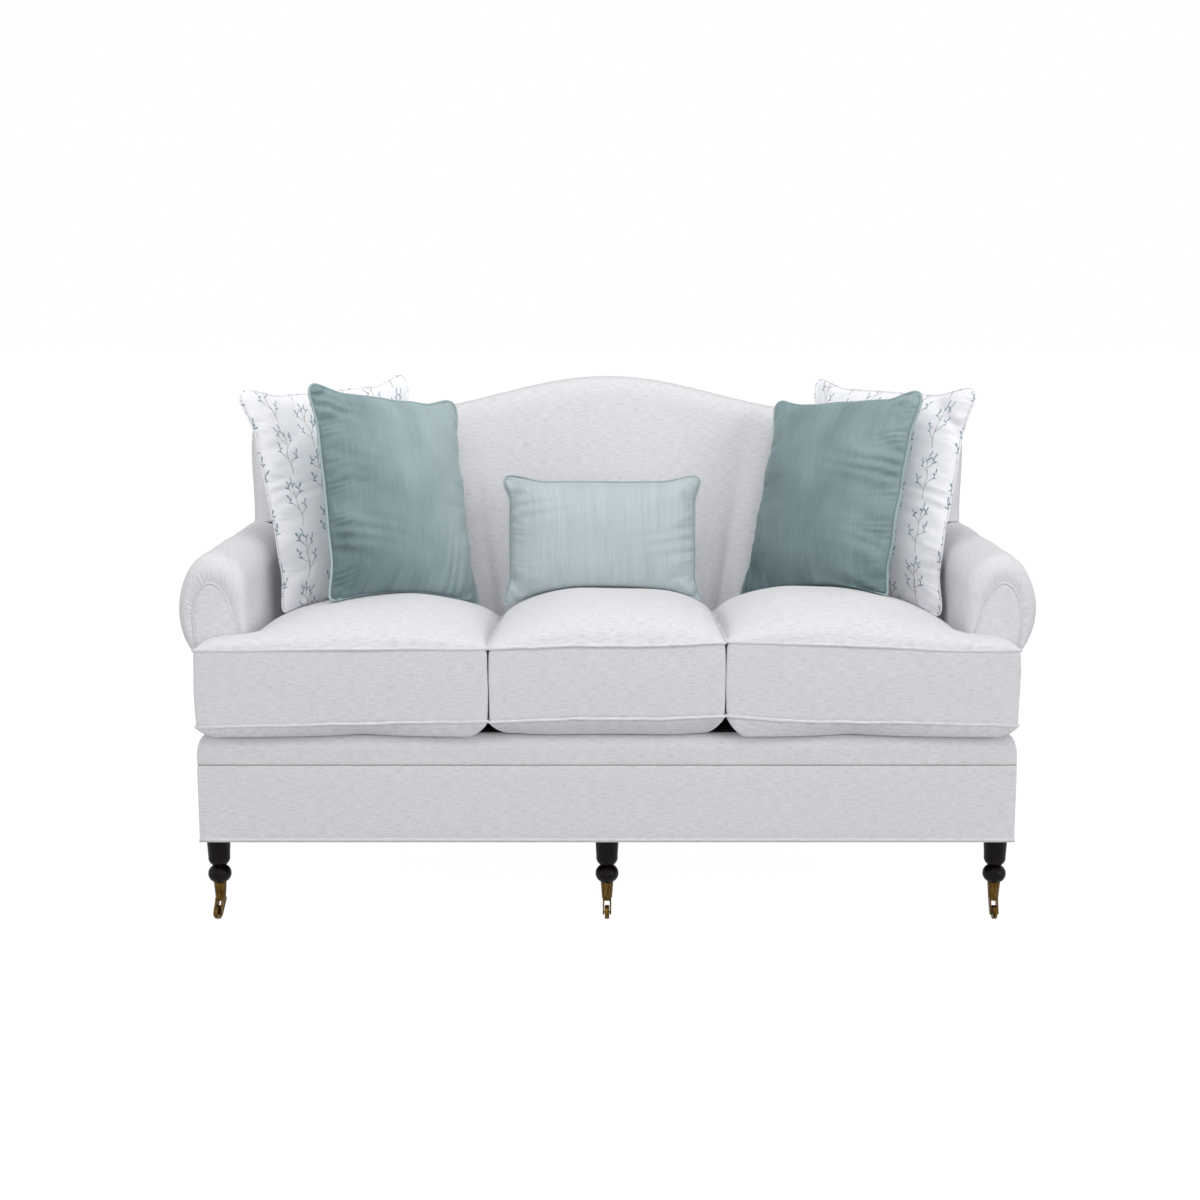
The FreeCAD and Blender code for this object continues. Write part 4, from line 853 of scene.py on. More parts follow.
# How the panels' cloth behaves while it is blown up.
STUFFING = {
    "quality": 6, "mass": 0.25, "tension_stiffness": 22, "compression_stiffness": 22,
    "shear_stiffness": 6, "bending_stiffness": 0.20, "tension_damping": 12,
    "compression_damping": 12, "shear_damping": 12, "air_damping": 4, "use_pressure": True,
    "uniform_pressure_force": 7, "vertex_group_mass": "seam", "vertex_group_shrink": "gathers",
}


@dataclass
class ScatterPillow:
    """Two panels of cloth sewn round their edge, blown up by cloth simulation, then leaned in place."""
    name: str
    body: str
    fabric: Fabric
    node: str
    width: float
    height: float
    thickness: float
    centre: tuple
    yaw: float
    lean: float
    roll: float
    piping: float
    seed: int
    gathers: dict
    columns: int = 68
    draw: float = 0.016
    corner_radius: float = 0.024
    dome: float = 0.018
    crown_power: float = 2.8
    crown_root: float = 0.55
    seam_waver: tuple = (0.0010, 0.0016, 0.0010)
    fullness: float = 0.042
    gather_fullness: float = 0.15
    edge_fullness: float = 0.80
    evenness: float = 0.55
    blown_frames: int = 26
    # Wavelength, reach inwards and height of each set of folds, in metres.
    folds: tuple = ((0.018, 0.024, 0.0078), (0.041, 0.062, 0.0105))
    # How soft the press is on the seat and the back, and on an arm, and the gap that is kept.
    soft: float = 0.006
    arm_soft: float = 0.004
    seat_gap: float = 0.001
    back_gap: float = 0.0055
    arm_gap: float = 0.0035
    arm_top: float = 0.80

    def panels(self) -> tuple:
        """The two flat panels before stuffing.

        Returns:
            The places, the places on a smooth crown that the stuffed shell is evened out with, the
            faces by number, the cloth's coordinates for each face corner, and the
            numbers of the points along the seam in order.
        """
        wide = self.columns
        high = int(round(wide * self.height / self.width))
        across, up = np.meshgrid(np.linspace(-1, 1, wide + 1), np.linspace(-1, 1, high + 1))
        # Corners are rounded off: a square at each is drawn in to a quarter of a disc.
        size = np.stack([across * self.width, up * self.height]) / 2
        start = np.array([self.width, self.height])[:, None, None] / 2 - self.corner_radius
        past = np.clip(np.abs(size) - start, 0, None)
        apart = np.hypot(*past)
        shrink = np.where(past.min(0) > 0, past.max(0) / np.maximum(apart, 1e-9), 1)
        across_m, up_m = np.sign(size) * (np.abs(size) - past * (1 - shrink))
        # Sides are drawn in between the corners, which stand out as ears.
        across_m = across_m - across * self.draw * (1 - smooth_step(0.55, 0.96, np.abs(up)))
        up_m = up_m - up * self.draw * (1 - smooth_step(0.55, 0.96, np.abs(across)))
        flat = np.stack([across_m, np.zeros_like(across_m), up_m], -1)
        # A sewn seam isn't quite straight, nor quite in one plane.
        waver = [ripple(flat, wavelength=0.10, seed=self.seed * 7 + turn) for turn in range(3)]
        flat += np.stack(waver, -1) * self.seam_waver
        dome = ((1 - across ** 4) * (1 - up ** 4))[..., None] * (0, self.dome, 0)
        power = self.crown_power
        full = ((1 - np.abs(across) ** power) * (1 - np.abs(up) ** power)) ** self.crown_root
        crown = full[..., None] * (0, self.thickness / 2, 0)
        count = (wide + 1) * (high + 1)
        number = np.arange(count).reshape(high + 1, wide + 1)
        behind = number + count
        edge = np.ones_like(number, bool)
        edge[1:-1, 1:-1] = False
        behind[edge] = number[edge]
        plain = np.stack([across * self.width / 2, up * self.height / 2], -1).reshape(-1, 2)
        cloth = plain[np.concatenate([quads(number), quads(number)[:, ::-1]])]
        cloth[len(cloth) // 2:] += (self.width * 3, 0)
        places = np.concatenate([(flat - dome).reshape(-1, 3), (flat + dome).reshape(-1, 3)])
        smooth = np.concatenate([(flat - crown).reshape(-1, 3), (flat + crown).reshape(-1, 3)])
        faces = np.concatenate([quads(number), quads(behind)[:, ::-1]])
        used = np.unique(faces)
        fresh = np.full(count * 2, -1)
        fresh[used] = np.arange(len(used))
        seam = np.concatenate([number[0, :-1], number[:-1, -1], number[-1, :0:-1], number[:0:-1, 0]])
        return places[used], smooth[used], fresh[faces], cloth, fresh[seam]

    def gathered(self, places: np.ndarray) -> np.ndarray:
        """How much spare cloth each point has, from 0 to 1: most along the gathered sides."""
        across = places[:, 0] / (self.width / 2)
        up = places[:, 2] / (self.height / 2)
        nearness = {"left": -across, "right": across, "top": up, "foot": -up}
        weight = np.zeros(len(places))
        for side, amount in self.gathers.items():
            patchy = 0.7 + ripple(places * (1, 0, 1), wavelength=0.12, seed=self.seed + len(side), height=0.3)
            spare = amount * smooth_step(0.62, 0.97, nearness[side]) * np.clip(patchy, 0, 1)
            weight = np.maximum(weight, spare)
        return weight

    def stuffed(self, places: np.ndarray, faces: np.ndarray, seam: np.ndarray) -> np.ndarray:
        """Blow the panels up with cloth simulation, the seam held, and give back the places."""
        mesh = bpy.data.meshes.new(self.name + "_stuffing")
        mesh.from_pydata(places.tolist(), [], faces.tolist())
        shell = add_object(self.name + "_stuffing", mesh)
        # The panels are cut larger than the seam that holds them, most where they are gathered.
        held = shell.vertex_groups.new(name="seam")
        held.add(seam.tolist(), 1.0, "REPLACE")
        group = shell.vertex_groups.new(name="gathers")
        for number, amount in enumerate(self.gathered(places).tolist()):
            group.add([number], amount, "REPLACE")
        cloth = shell.modifiers.new("stuffing", "CLOTH")
        for name, value in STUFFING.items():
            setattr(cloth.settings, name, value)
        cloth.settings.shrink_min = -self.fullness
        cloth.settings.shrink_max = -self.gather_fullness
        cloth.settings.effector_weights.gravity = 0
        cloth.collision_settings.use_collision = False
        cloth.collision_settings.use_self_collision = False
        cloth.point_cache.frame_start = 1
        cloth.point_cache.frame_end = self.blown_frames + 4
        scene = bpy.context.scene
        for number in range(1, self.blown_frames + 1):
            scene.frame_set(number)
        blown = shell.evaluated_get(bpy.context.evaluated_depsgraph_get()).data
        result = np.zeros(len(blown.vertices) * 3)
        blown.vertices.foreach_get("co", result)
        scene.frame_set(1)
        bpy.data.objects.remove(shell)
        return result.reshape(-1, 3)

    def fitted(self, places: np.ndarray, smooth: np.ndarray) -> np.ndarray:
        """Scale the stuffed shell to the real thickness and even it out with the smooth crown."""
        made = places.copy()
        share = places[:, 1] / np.abs(places[:, 1]).max()
        made[:, 1] = np.sign(share) * np.abs(share) ** self.edge_fullness * self.thickness / 2
        return made * (1 - self.evenness) + smooth * self.evenness

    def puckered(self, mesh: bpy.types.Mesh, points: np.ndarray) -> np.ndarray:
        """Lay small folds square to the gathered sides.

        Each fold is a wave along the side that grows from nothing at the seam and dies out inwards:
        narrow ones near the seam and broader ones further in, slanted a little and patchy.

        Args:
            mesh: the cover's fine mesh, whose cloth coordinates tell each point's place on its panel.
            points: its places.

        Returns:
            The places with the folds.
        """
        corners = np.zeros(len(mesh.loops), np.int32)
        mesh.loops.foreach_get("vertex_index", corners)
        cloth = np.zeros(len(corners) * 2)
        mesh.uv_layers["cloth"].uv.foreach_get("vector", cloth)
        panel = np.zeros((len(points), 2))
        panel[corners] = cloth.reshape(-1, 2)
        behind = panel[:, 0] > self.width
        panel[behind, 0] -= self.width * 3
        across, up = panel.T
        side = {"left": (self.width / 2 + across, up), "right": (self.width / 2 - across, up),
                "top": (self.height / 2 - up, across), "foot": (self.height / 2 + up, across)}
        fold = np.zeros(len(points))
        for number, (name, amount) in enumerate(self.gathers.items()):
            inset, along = side[name]
            chance = np.random.default_rng(self.seed * 10 + number)
            for wavelength, reach, height in self.folds:
                turns = chance.uniform(0, 2 * math.pi, 4)
                place = along + 0.3 * inset * np.sin(turns[0]) + 0.35 * wavelength * np.sin(
                    2 * math.pi * along / (wavelength * 3.7) + turns[1])
                wave = np.sin(2 * math.pi * place / wavelength + turns[2] + behind * 2.0)
                patchy = 0.6 + 0.4 * np.sin(2 * math.pi * along / (wavelength * 6.1) + turns[3])
                shape = (1 - np.exp(-inset / 0.006)) * np.exp(-inset / reach)
                fold += amount * height * patchy * shape * (wave - 0.2)
        made = points.copy()
        made[:, 1] += np.where(behind, fold, -fold)
        return made

    def placed(self, places: np.ndarray) -> np.ndarray:
        """Turn, lean and roll the pillow and carry it to its middle."""
        yaw, lean, roll = (Matrix.Rotation(math.radians(angle), 3, axis) for angle, axis in (
            (self.yaw, "Z"), (self.lean, "X"), (self.roll, "Y")))
        return places @ np.array(yaw @ lean @ roll).T + np.array(self.centre)

    def rested(self, places: np.ndarray, sofa: "Sofa") -> np.ndarray:
        """Press the pillow flat where it meets the seat, the back and an arm.

        A point that would be in a neighbour is put on its surface, and the points near it give way
        softly: the clearance left is what a soft maximum of the two leaves.
        """
        def pressed(gap: np.ndarray, soft: float) -> np.ndarray:
            """The clearance that is left of a gap, which may be less than nothing."""
            return soft * np.logaddexp(0, gap / soft)

        made = places.copy()
        seat = sofa.seat_height(made[:, 0], made[:, 1]) + self.seat_gap + self.piping
        gap = made[:, 2] - seat
        made[:, 2] = seat + np.where(seat > 0.2, pressed(gap, self.soft), gap)
        back = sofa.back.face(made[:, 0], made[:, 2]) - self.back_gap
        gap = back - made[:, 1]
        made[:, 1] = back - np.where(made[:, 2] < CAMEL_TOP + 0.1, pressed(gap, self.soft), gap)
        wall = SEAT_HALF - self.arm_gap
        reach = wall - pressed(wall - np.abs(made[:, 0]), self.arm_soft)
        made[:, 0] = np.where(made[:, 2] < self.arm_top, np.sign(made[:, 0]) * reach, made[:, 0])
        return made

    def build(self, wardrobe: Wardrobe, sofa: "Sofa") -> None:
        """Make the pillow's cover and its piping."""
        places, smooth, faces, cloth, seam = self.panels()
        blown = self.stuffed(places, faces, seam)
        made = self.fitted(blown, smooth)
        made[seam] = smooth[seam]
        piece = add_piece("cover_" + self.name, cloth_mesh("cover_" + self.name, made, faces, cloth))
        piece.modifiers.new("rounder", "SUBSURF").levels = 1
        fine = bpy.data.meshes.new_from_object(piece.evaluated_get(bpy.context.evaluated_depsgraph_get()))
        piece.modifiers.clear()
        piece.data = fine
        fine.name = piece.name
        points = np.zeros(len(fine.vertices) * 3)
        fine.vertices.foreach_get("co", points)
        points = self.rested(self.placed(self.puckered(fine, points.reshape(-1, 3))), sofa)
        fine.vertices.foreach_set("co", points.ravel())
        fine.update()
        wardrobe.dress(piece, self.body, self.fabric, (self.node, self.node.replace("pillow", "insert")),
                       own=self.node)
        line = self.rested(self.placed(made[seam]), sofa)
        steps = np.arange(len(line))
        line = softened(line, np.exp(-0.5 * (np.minimum(steps, len(line) - steps) / 0.8) ** 2))
        cord = tube_piece("piping_" + self.name, line, self.piping)
        wardrobe.dress(cord, self.body, self.fabric, own=self.node)


# The padded back.

@dataclass
class CamelBack:
    """The tight inside back under a camel line, and the flat outside back behind it."""
    half: float = 0.849
    shoulder: float = 1.015
    half_span: float = 0.520
    shoulder_radius: float = 0.045
    seat_depth: float = 0.540
    bulge: float = 0.012
    valley_foot: float = 0.243
    valley_top: float = 0.330
    valley_depth: float = 0.018
    valley_width: float = 0.026
    crease_depth: float = 0.014
    crease_width: float = 0.011
    front_radius: float = 0.017
    crest_drop: float = 0.045
    rear_radius: float = 0.018
    rear_gap: float = 0.003
    waist: float = 0.012
    waist_top: float = 0.95
    side_radius: float = 0.030
    arm_cut: float = 0.7656
    wing_fall: float = 0.060
    wing_reach: float = 0.048
    rear_seam_drop: float = 0.030

    def top(self, across: np.ndarray) -> np.ndarray:
        """Height of the camel line: a level shoulder, a cosine rise, and a rounded corner."""
        reach = np.abs(across)
        rise = (CAMEL_TOP - self.shoulder) * (1 + np.cos(math.pi * np.clip(reach / self.half_span, 0, 1))) / 2
        radius = self.shoulder_radius
        past = np.clip(reach - (self.half - radius), 0, None)
        fall = radius - np.sqrt(np.clip(radius ** 2 - past ** 2, 0, None))
        return self.shoulder + rise - fall

    def swell(self, across: np.ndarray, height: np.ndarray) -> np.ndarray:
        """Fullness of the padding: a parabola each side of a valley, and the valley's own dip."""
        reach = np.abs(across)
        share = np.clip((height - DECK) / (CAMEL_TOP - 0.1 - DECK), 0, 1.2)
        valley = self.valley_foot + (self.valley_top - self.valley_foot) * share
        inside = 1 - (reach / valley) ** 2
        middle = (valley + self.half) / 2
        outside = 1 - ((reach - middle) / (self.half - middle)) ** 2
        away = reach - valley
        dip = self.valley_depth * bell(away, self.valley_width) * (1 - smooth_step(0.15, 0.95, share))
        dip += self.crease_depth * bell(away, self.crease_width) * (1 - smooth_step(0.22, 0.72, share))
        return self.bulge * np.where(reach < valley, inside, outside) - dip

    def face(self, across: np.ndarray, height: np.ndarray) -> np.ndarray:
        """Y of the inside back's face."""
        return FRONT + self.seat_depth + (height - DECK) * INSIDE_RAKE - self.swell(across, height)

    def build(self, wardrobe: Wardrobe) -> None:
        """Make the inside back's cover, over the crest and down its rear."""
        inner = np.linspace(-SEAT_HALF + 0.0008, SEAT_HALF - 0.0008, 250)
        side = np.linspace(SEAT_HALF + 0.0004, self.half - self.side_radius, 16)
        angle = np.radians(np.linspace(9, 90, 10))
        wing = np.concatenate([side, self.half - self.side_radius * (1 - np.sin(angle))])
        set_back = np.concatenate([side * 0, self.side_radius * (1 - np.cos(angle))])
        across = np.concatenate([-wing[::-1], inner, wing])
        back_off = np.concatenate([set_back[::-1], inner * 0, set_back])
        # The wing's foot follows the fall of the arm's roll, so that no gap opens beside it.
        past = smooth_step(SEAT_HALF, SEAT_HALF + self.wing_reach, np.abs(across))
        foot = np.where(np.abs(across) < SEAT_HALF, DECK, self.arm_cut - self.wing_fall * (1 - past))
        top = self.top(across)
        chest = top - self.crest_drop
        front = self.face(across, top) + back_off
        room = outside_depth(top) - self.rear_gap - front
        first = np.minimum(self.front_radius, room * 0.45)
        last = np.minimum(self.rear_radius, room * 0.4)
        # The rear goes down through the face's heights, so that each row has its partner. Both turn
        # in to the crest over their last rows, by a share of their own radius.
        levels = [(foot + (chest - foot) * share, 0.0) for share in np.linspace(0, 1, 90)]
        levels += [(chest + self.crest_drop * np.sin(turn), 1 - np.cos(turn))
                   for turn in np.radians(np.linspace(10, 90, 9))]
        rows = [(height, self.face(across, height) + back_off + first * bend) for height, bend in levels]
        rows += [(top + 0.002 * math.sin(math.pi * share), front + first + (room - first - last) * share)
                 for share in np.linspace(0.1, 0.9, 9)]
        rows += [(height, outside_depth(height) - self.rear_gap - last * bend)
                 for height, bend in levels[::-1]]
        height, along = (np.array(part) for part in zip(*rows))
        points = np.stack(np.broadcast_arrays(across, along, height), -1)
        # The wings are drawn in to the arms.
        wing_share = np.clip((np.abs(points[..., 0]) - SEAT_HALF) / (self.half - SEAT_HALF), 0, 1)
        points[..., 0] -= np.sign(points[..., 0]) * wing_share * self.waist * (
            1 - smooth_step(self.arm_cut, self.waist_top, points[..., 2]))
        soft = ripple(points, wavelength=0.24, seed=71, height=0.0022)
        points[:len(levels), :, 1] += (soft * smooth_step(DECK, 0.55, height))[:len(levels)]
        # The cloth runs up the face and over the crest.
        cloth = np.stack(np.broadcast_arrays(across, run_length(points)), -1)
        closed = self.closed_sides(points, cloth)
        piece = grid_piece("inside_back_cover", [closed], wrap=False, turn=True)
        wardrobe.dress(piece, "sofa", Fabric.LINEN, ("inside_back",))

    def closed_sides(self, points: np.ndarray, cloth: np.ndarray) -> tuple:
        """Close the back's sides and foot: each row of an end meets its partner half way."""
        for end in (0, -1):
            edge = points[:, end]
            middle = (edge + edge[::-1]) / 2
            reach = np.linalg.norm(middle - edge, axis=1) * (1 if end else -1)
            steps = (0.1, 0.4, 0.7, 1.0)
            new = np.stack([edge * (1 - share) + middle * share for share in steps], 1)
            tone = np.stack([cloth[:, end] + reach[:, None] * (share, 0) for share in steps], 1)
            if end == 0:
                points = np.concatenate([new[:, ::-1], points], 1)
                cloth = np.concatenate([tone[:, ::-1], cloth], 1)
            else:
                points = np.concatenate([points, new], 1)
                cloth = np.concatenate([cloth, tone], 1)
        return np.concatenate([points, points[:1]]), np.concatenate([cloth, cloth[-1:] + (0, 0.1)])


# Flat upholstered panels.

@dataclass
class ClothPanel:
    """A panel of cloth over board: flat, a little domed, with its edges turned under."""
    name: str
    outline: list
    node: str
    thickness: float = 0.003
    dome: float = 0.0015
    edge: float = 0.0028
    softness: float = 0.004
    columns: int = 300
    centre: tuple | None = None
    # Whether the rings' faces need their outside swapped.
    turn: bool = False

    def to_sofa(self, across: np.ndarray, up: np.ndarray, out: np.ndarray) -> np.ndarray:
        """Places from the panel's own across, up and outward measures."""
        raise NotImplementedError

    def build(self, wardrobe: Wardrobe) -> None:
        """Make the panel from rings between its middle and its outline."""
        line = round_line(self.outline, self.columns, self.softness)
        # Every part of the outline has to be seen from the middle.
        reach, inward = spokes(line, np.array(self.centre or line.mean(0).tolist()))
        rings = [(reach * (1 - share) + 0.0002, 0.0) for share in np.linspace(0, 1, 4)]
        rings += [(self.edge * (1 - math.cos(turn)), self.thickness * math.sin(turn))
                  for turn in np.radians(np.linspace(0, 90, 6))]
        rings += [(self.edge + (reach - self.edge) * share,
                   self.thickness + self.dome * math.sin(math.pi / 2 * min(share * 2.5, 1)))
                  for share in np.linspace(0.03, 1, 26) ** 1.2]
        inset, out = (np.array([np.broadcast_to(ring[part], reach.shape) for ring in rings])
                      for part in (0, 1))
        flat = line + inward * inset[..., None]
        points = self.to_sofa(flat[..., 0], flat[..., 1], out)
        piece = grid_piece(self.name, [(points, wrapped(flat))], turn=self.turn)
        wardrobe.dress(piece, "sofa", Fabric.LINEN, (self.node,))


@dataclass
class FrontPanel(ClothPanel):
    """A panel that faces the front, at the apron's depth."""

    def to_sofa(self, across: np.ndarray, up: np.ndarray, out: np.ndarray) -> np.ndarray:
        """Outward is towards the front."""
        return np.stack(np.broadcast_arrays(across, APRON_FACE + self.thickness - out, up), -1)


@dataclass
class SidePanel(ClothPanel):
    """A panel on one side of the base."""
    side: int = 1

    def to_sofa(self, across: np.ndarray, up: np.ndarray, out: np.ndarray) -> np.ndarray:
        """Outward is away from the sofa's middle."""
        depth = BASE_HALF - self.thickness + out
        return np.stack(np.broadcast_arrays(self.side * depth, across, up), -1)


@dataclass
class RearPanel(ClothPanel):
    """The raked panel that closes the back."""

    def to_sofa(self, across: np.ndarray, up: np.ndarray, out: np.ndarray) -> np.ndarray:
        """Outward is to the rear, from the raked plane of the frame."""
        return np.stack(np.broadcast_arrays(across, outside_depth(up) - self.thickness + out, up), -1)


# Rolled arms.

@dataclass
class RolledArm:
    """A padded scroll arm: roll, pleated puff round the front, and the facing inside its seam."""
    name: str
    side: int
    arm_height: float = 0.765
    crest: float = 0.820
    widest: float = 0.892
    widest_height: float = 0.648
    inner_height: float = 0.694
    roll_foot: float = 0.548
    wall_gap: float = 0.003
    rear_gap: float = 0.0032
    facing_front: float = FRONT + 0.105
    facing_middle: tuple = (0.803, 0.56)
    facing_dome: float = 0.0008
    welt: float = 0.0018
    welt_depth: float = 0.0014
    puff_depth: float = 0.034
    puff_bulge: float = 0.0026
    seam_depth: float = 0.0035
    pleats: int = 36
    pleat_depth: float = 0.0009
    # Points of the section: up the inner side, over the arch, down the outer side, and its foot.
    counts: tuple = (40, 120, 60, 20)
    # The facing's arch as pairs of X and Z: up its inner side, over, and down its outer side.
    facing_inner_side: tuple = ((0.757, DECK), (0.758, 0.46), (0.759, 0.518), (0.762, 0.585), (0.7775, 0.645))
    facing_arch: tuple = ((0.7775, 0.645), (0.788, 0.676), (0.8015, 0.697), (0.819, 0.7075), (0.838, 0.698),
                          (0.851, 0.675), (0.8575, 0.640))
    facing_outer_side: tuple = ((0.8575, 0.640), (0.8555, 0.595), (0.850, 0.549), (0.844, 0.50), (0.840, DECK))

    def arc(self, middle: tuple, radii: tuple, start: float, stop: float, count: int) -> np.ndarray:
        """Points on an ellipse between two angles in degrees."""
        angle = np.radians(np.linspace(start, stop, count))
        return np.stack([middle[0] + radii[0] * np.cos(angle), middle[1] + radii[1] * np.sin(angle)], -1)

    def straight(self, start: tuple, stop: tuple, count: int) -> np.ndarray:
        """Points on a straight run, without its last."""
        share = np.linspace(0, 1, count, endpoint=False)[:, None]
        return np.array(start) * (1 - share) + np.array(stop) * share

    def roll_outline(self) -> np.ndarray:
        """Section of the roll: up the inside, over the crest, round the scroll and down."""
        up, over, down, foot = self.counts
        inner, wall = SEAT_HALF, BASE_HALF - self.wall_gap
        first = self.arc((self.crest, self.inner_height),
                         (self.crest - inner, self.arm_height - self.inner_height), 180, 90, 40)
        second = self.arc((self.crest, self.widest_height),
                          (self.widest - self.crest, self.arm_height - self.widest_height), 90, 0, 50)
        under = self.arc((wall, self.widest_height),
                         (self.widest - wall, self.widest_height - self.roll_foot), 0, -80, 30)
        below = np.concatenate([under, np.array([(wall, self.roll_foot - 0.006), (wall, DECK)])])
        return np.concatenate([self.straight((inner, DECK), (inner, self.inner_height), up),
                               evenly(np.concatenate([first, second[1:]]), over), evenly(below, down),
                               self.straight((wall, DECK), (inner, DECK), foot)])

    def facing_outline(self) -> np.ndarray:
        """Outline of the facing: the same counts of points as the roll's section."""
        knots = np.array(self.facing_inner_side + self.facing_arch[1:] + self.facing_outer_side[1:])
        before = np.concatenate([knots[:1] * 2 - knots[1:2], knots[:-2]])
        after = np.concatenate([knots[2:], knots[-1:] * 2 - knots[-2:-1]])
        fine = 12
        share = np.linspace(0, 1, fine, endpoint=False)[:, None, None]
        # Each run between two knots is the cubic whose slopes follow their neighbours.
        first, second = knots[:-1], knots[1:]
        curve = (first + (second - before) / 2 * share
                 + (before - first * 2.5 + second * 2 - after / 2) * share ** 2
                 + ((after - before) / 2 + (first - second) * 1.5) * share ** 3)
        curve = np.concatenate([curve.transpose(1, 0, 2).reshape(-1, 2), knots[-1:]])
        start = fine * (len(self.facing_inner_side) - 1)
        stop = start + fine * (len(self.facing_arch) - 1)
        up, over, down, foot = self.counts
        return np.concatenate([evenly(curve[:start + 1], up), evenly(curve[start:stop + 1], over),
                               evenly(curve[stop:], down), self.straight(knots[-1], knots[0], foot)])

    def build(self, wardrobe: Wardrobe) -> None:
        """Make the arm's cover and the piping of its facing."""
        roll = self.roll_outline()
        facing = self.facing_outline()
        count = len(roll)
        middle = np.array(self.facing_middle)
        place = np.arange(count)
        # 1 round the arch, where the cloth is gathered, and 0 down the straight sides.
        arch = smooth_step(22, 52, place) * (1 - smooth_step(170, 200, place))
        rows = []
        face = self.facing_front
        for share in np.linspace(0, 0.96, 22):
            dome = face + self.facing_dome * share ** 2
            rows.append((middle + (facing - middle) * share, np.full(count, dome)))
        rows.append((middle + (facing - middle) * 0.985, np.full(count, face + self.seam_depth * 0.6)))
        seam_row = len(rows)
        rows.append((facing, np.full(count, face + self.seam_depth)))
        # Gathers of uneven width and depth: a wave whose pace and strength wander.
        pace = place + 3.2 * np.sin(place * 0.13 + self.side) + 2.0 * np.sin(place * 0.31 + 1.0)
        wave = np.sin(pace / 120 * math.pi * self.pleats) * (0.55 + 0.45 * np.sin(place * 0.21 + 2 * self.side))
        wave += 0.35 * np.sin(place * 0.93 + 2.0)
        for share in np.linspace(0.06, 1, 26):
            # A quarter of a superellipse from the seam, out and back to the roll's side.
            turn = share * math.pi / 2
            out = 1 - (1 - math.sin(turn)) ** 1.15
            back = (1 - math.cos(turn)) ** 1.25
            bulge = self.puff_bulge * math.sin(math.pi * min(share * 1.7, 1.0)) * arch
            depth = face + self.seam_depth - 0.0020 * min(share * 5, 1) + self.puff_depth * back - bulge
            pleat = self.pleat_depth * wave * arch * math.exp(-((share - 0.12) / 0.17) ** 2)
            rows.append((facing + (roll - facing) * out, depth + pleat))
        last = rows[-1][1]
        rear = outside_depth(roll[:, 1]) - self.rear_gap
        for share in np.concatenate([np.linspace(0.02, 0.2, 9), np.linspace(0.24, 1, 44)]):
            rows.append((roll, last + (rear - last) * share))
        long_rows = len(rows)
        for share in (0.97, 0.6, 0.2, 0.0):
            flat = middle + (roll - middle) * share
            rows.append((flat, outside_depth(flat[:, 1]) - self.rear_gap))
        points = np.stack([np.stack([flat[:, 0], depth, flat[:, 1]], -1) for flat, depth in rows])
        # The padding is a little uneven, square to the roll's section.
        unit = roll - np.roll(roll, 1, 0)
        normal = np.stack([-unit[:, 1], unit[:, 0]], -1)
        normal /= np.linalg.norm(normal, axis=1, keepdims=True) + 1e-9
        soft = ripple(points * (self.side, 1, 1), wavelength=0.16, seed=90 + self.side, height=0.0016)
        soft[:seam_row + 4] = 0
        soft[long_rows:] = 0
        full = smooth_step(0.46, 0.62, points[..., 2])
        points[..., 0] += soft * full * normal[:, 0]
        points[..., 2] += soft * full * normal[:, 1]
        points[..., 0] *= self.side
        closed = wrapped(points)
        length = run_length(closed[seam_row:])
        body = np.stack([length, np.broadcast_to(loop_length(roll), length.shape)], -1)
        piece = grid_piece("arm_cover_" + self.name,
                           [(points[:seam_row + 1], closed[:seam_row + 1][..., (0, 2)]),
                            (points[seam_row:], body)], turn=self.side < 0)
        wardrobe.dress(piece, "sofa", Fabric.LINEN, ("arm_pad_" + self.name, "arm_facing_" + self.name))
        line = np.stack([facing[:, 0] * self.side, np.full(count, face + self.welt_depth), facing[:, 1]], -1)
        cord = tube_piece("facing_welt_" + self.name, line, self.welt)
        wardrobe.dress(cord, "sofa", Fabric.LINEN)


# Front of the base.

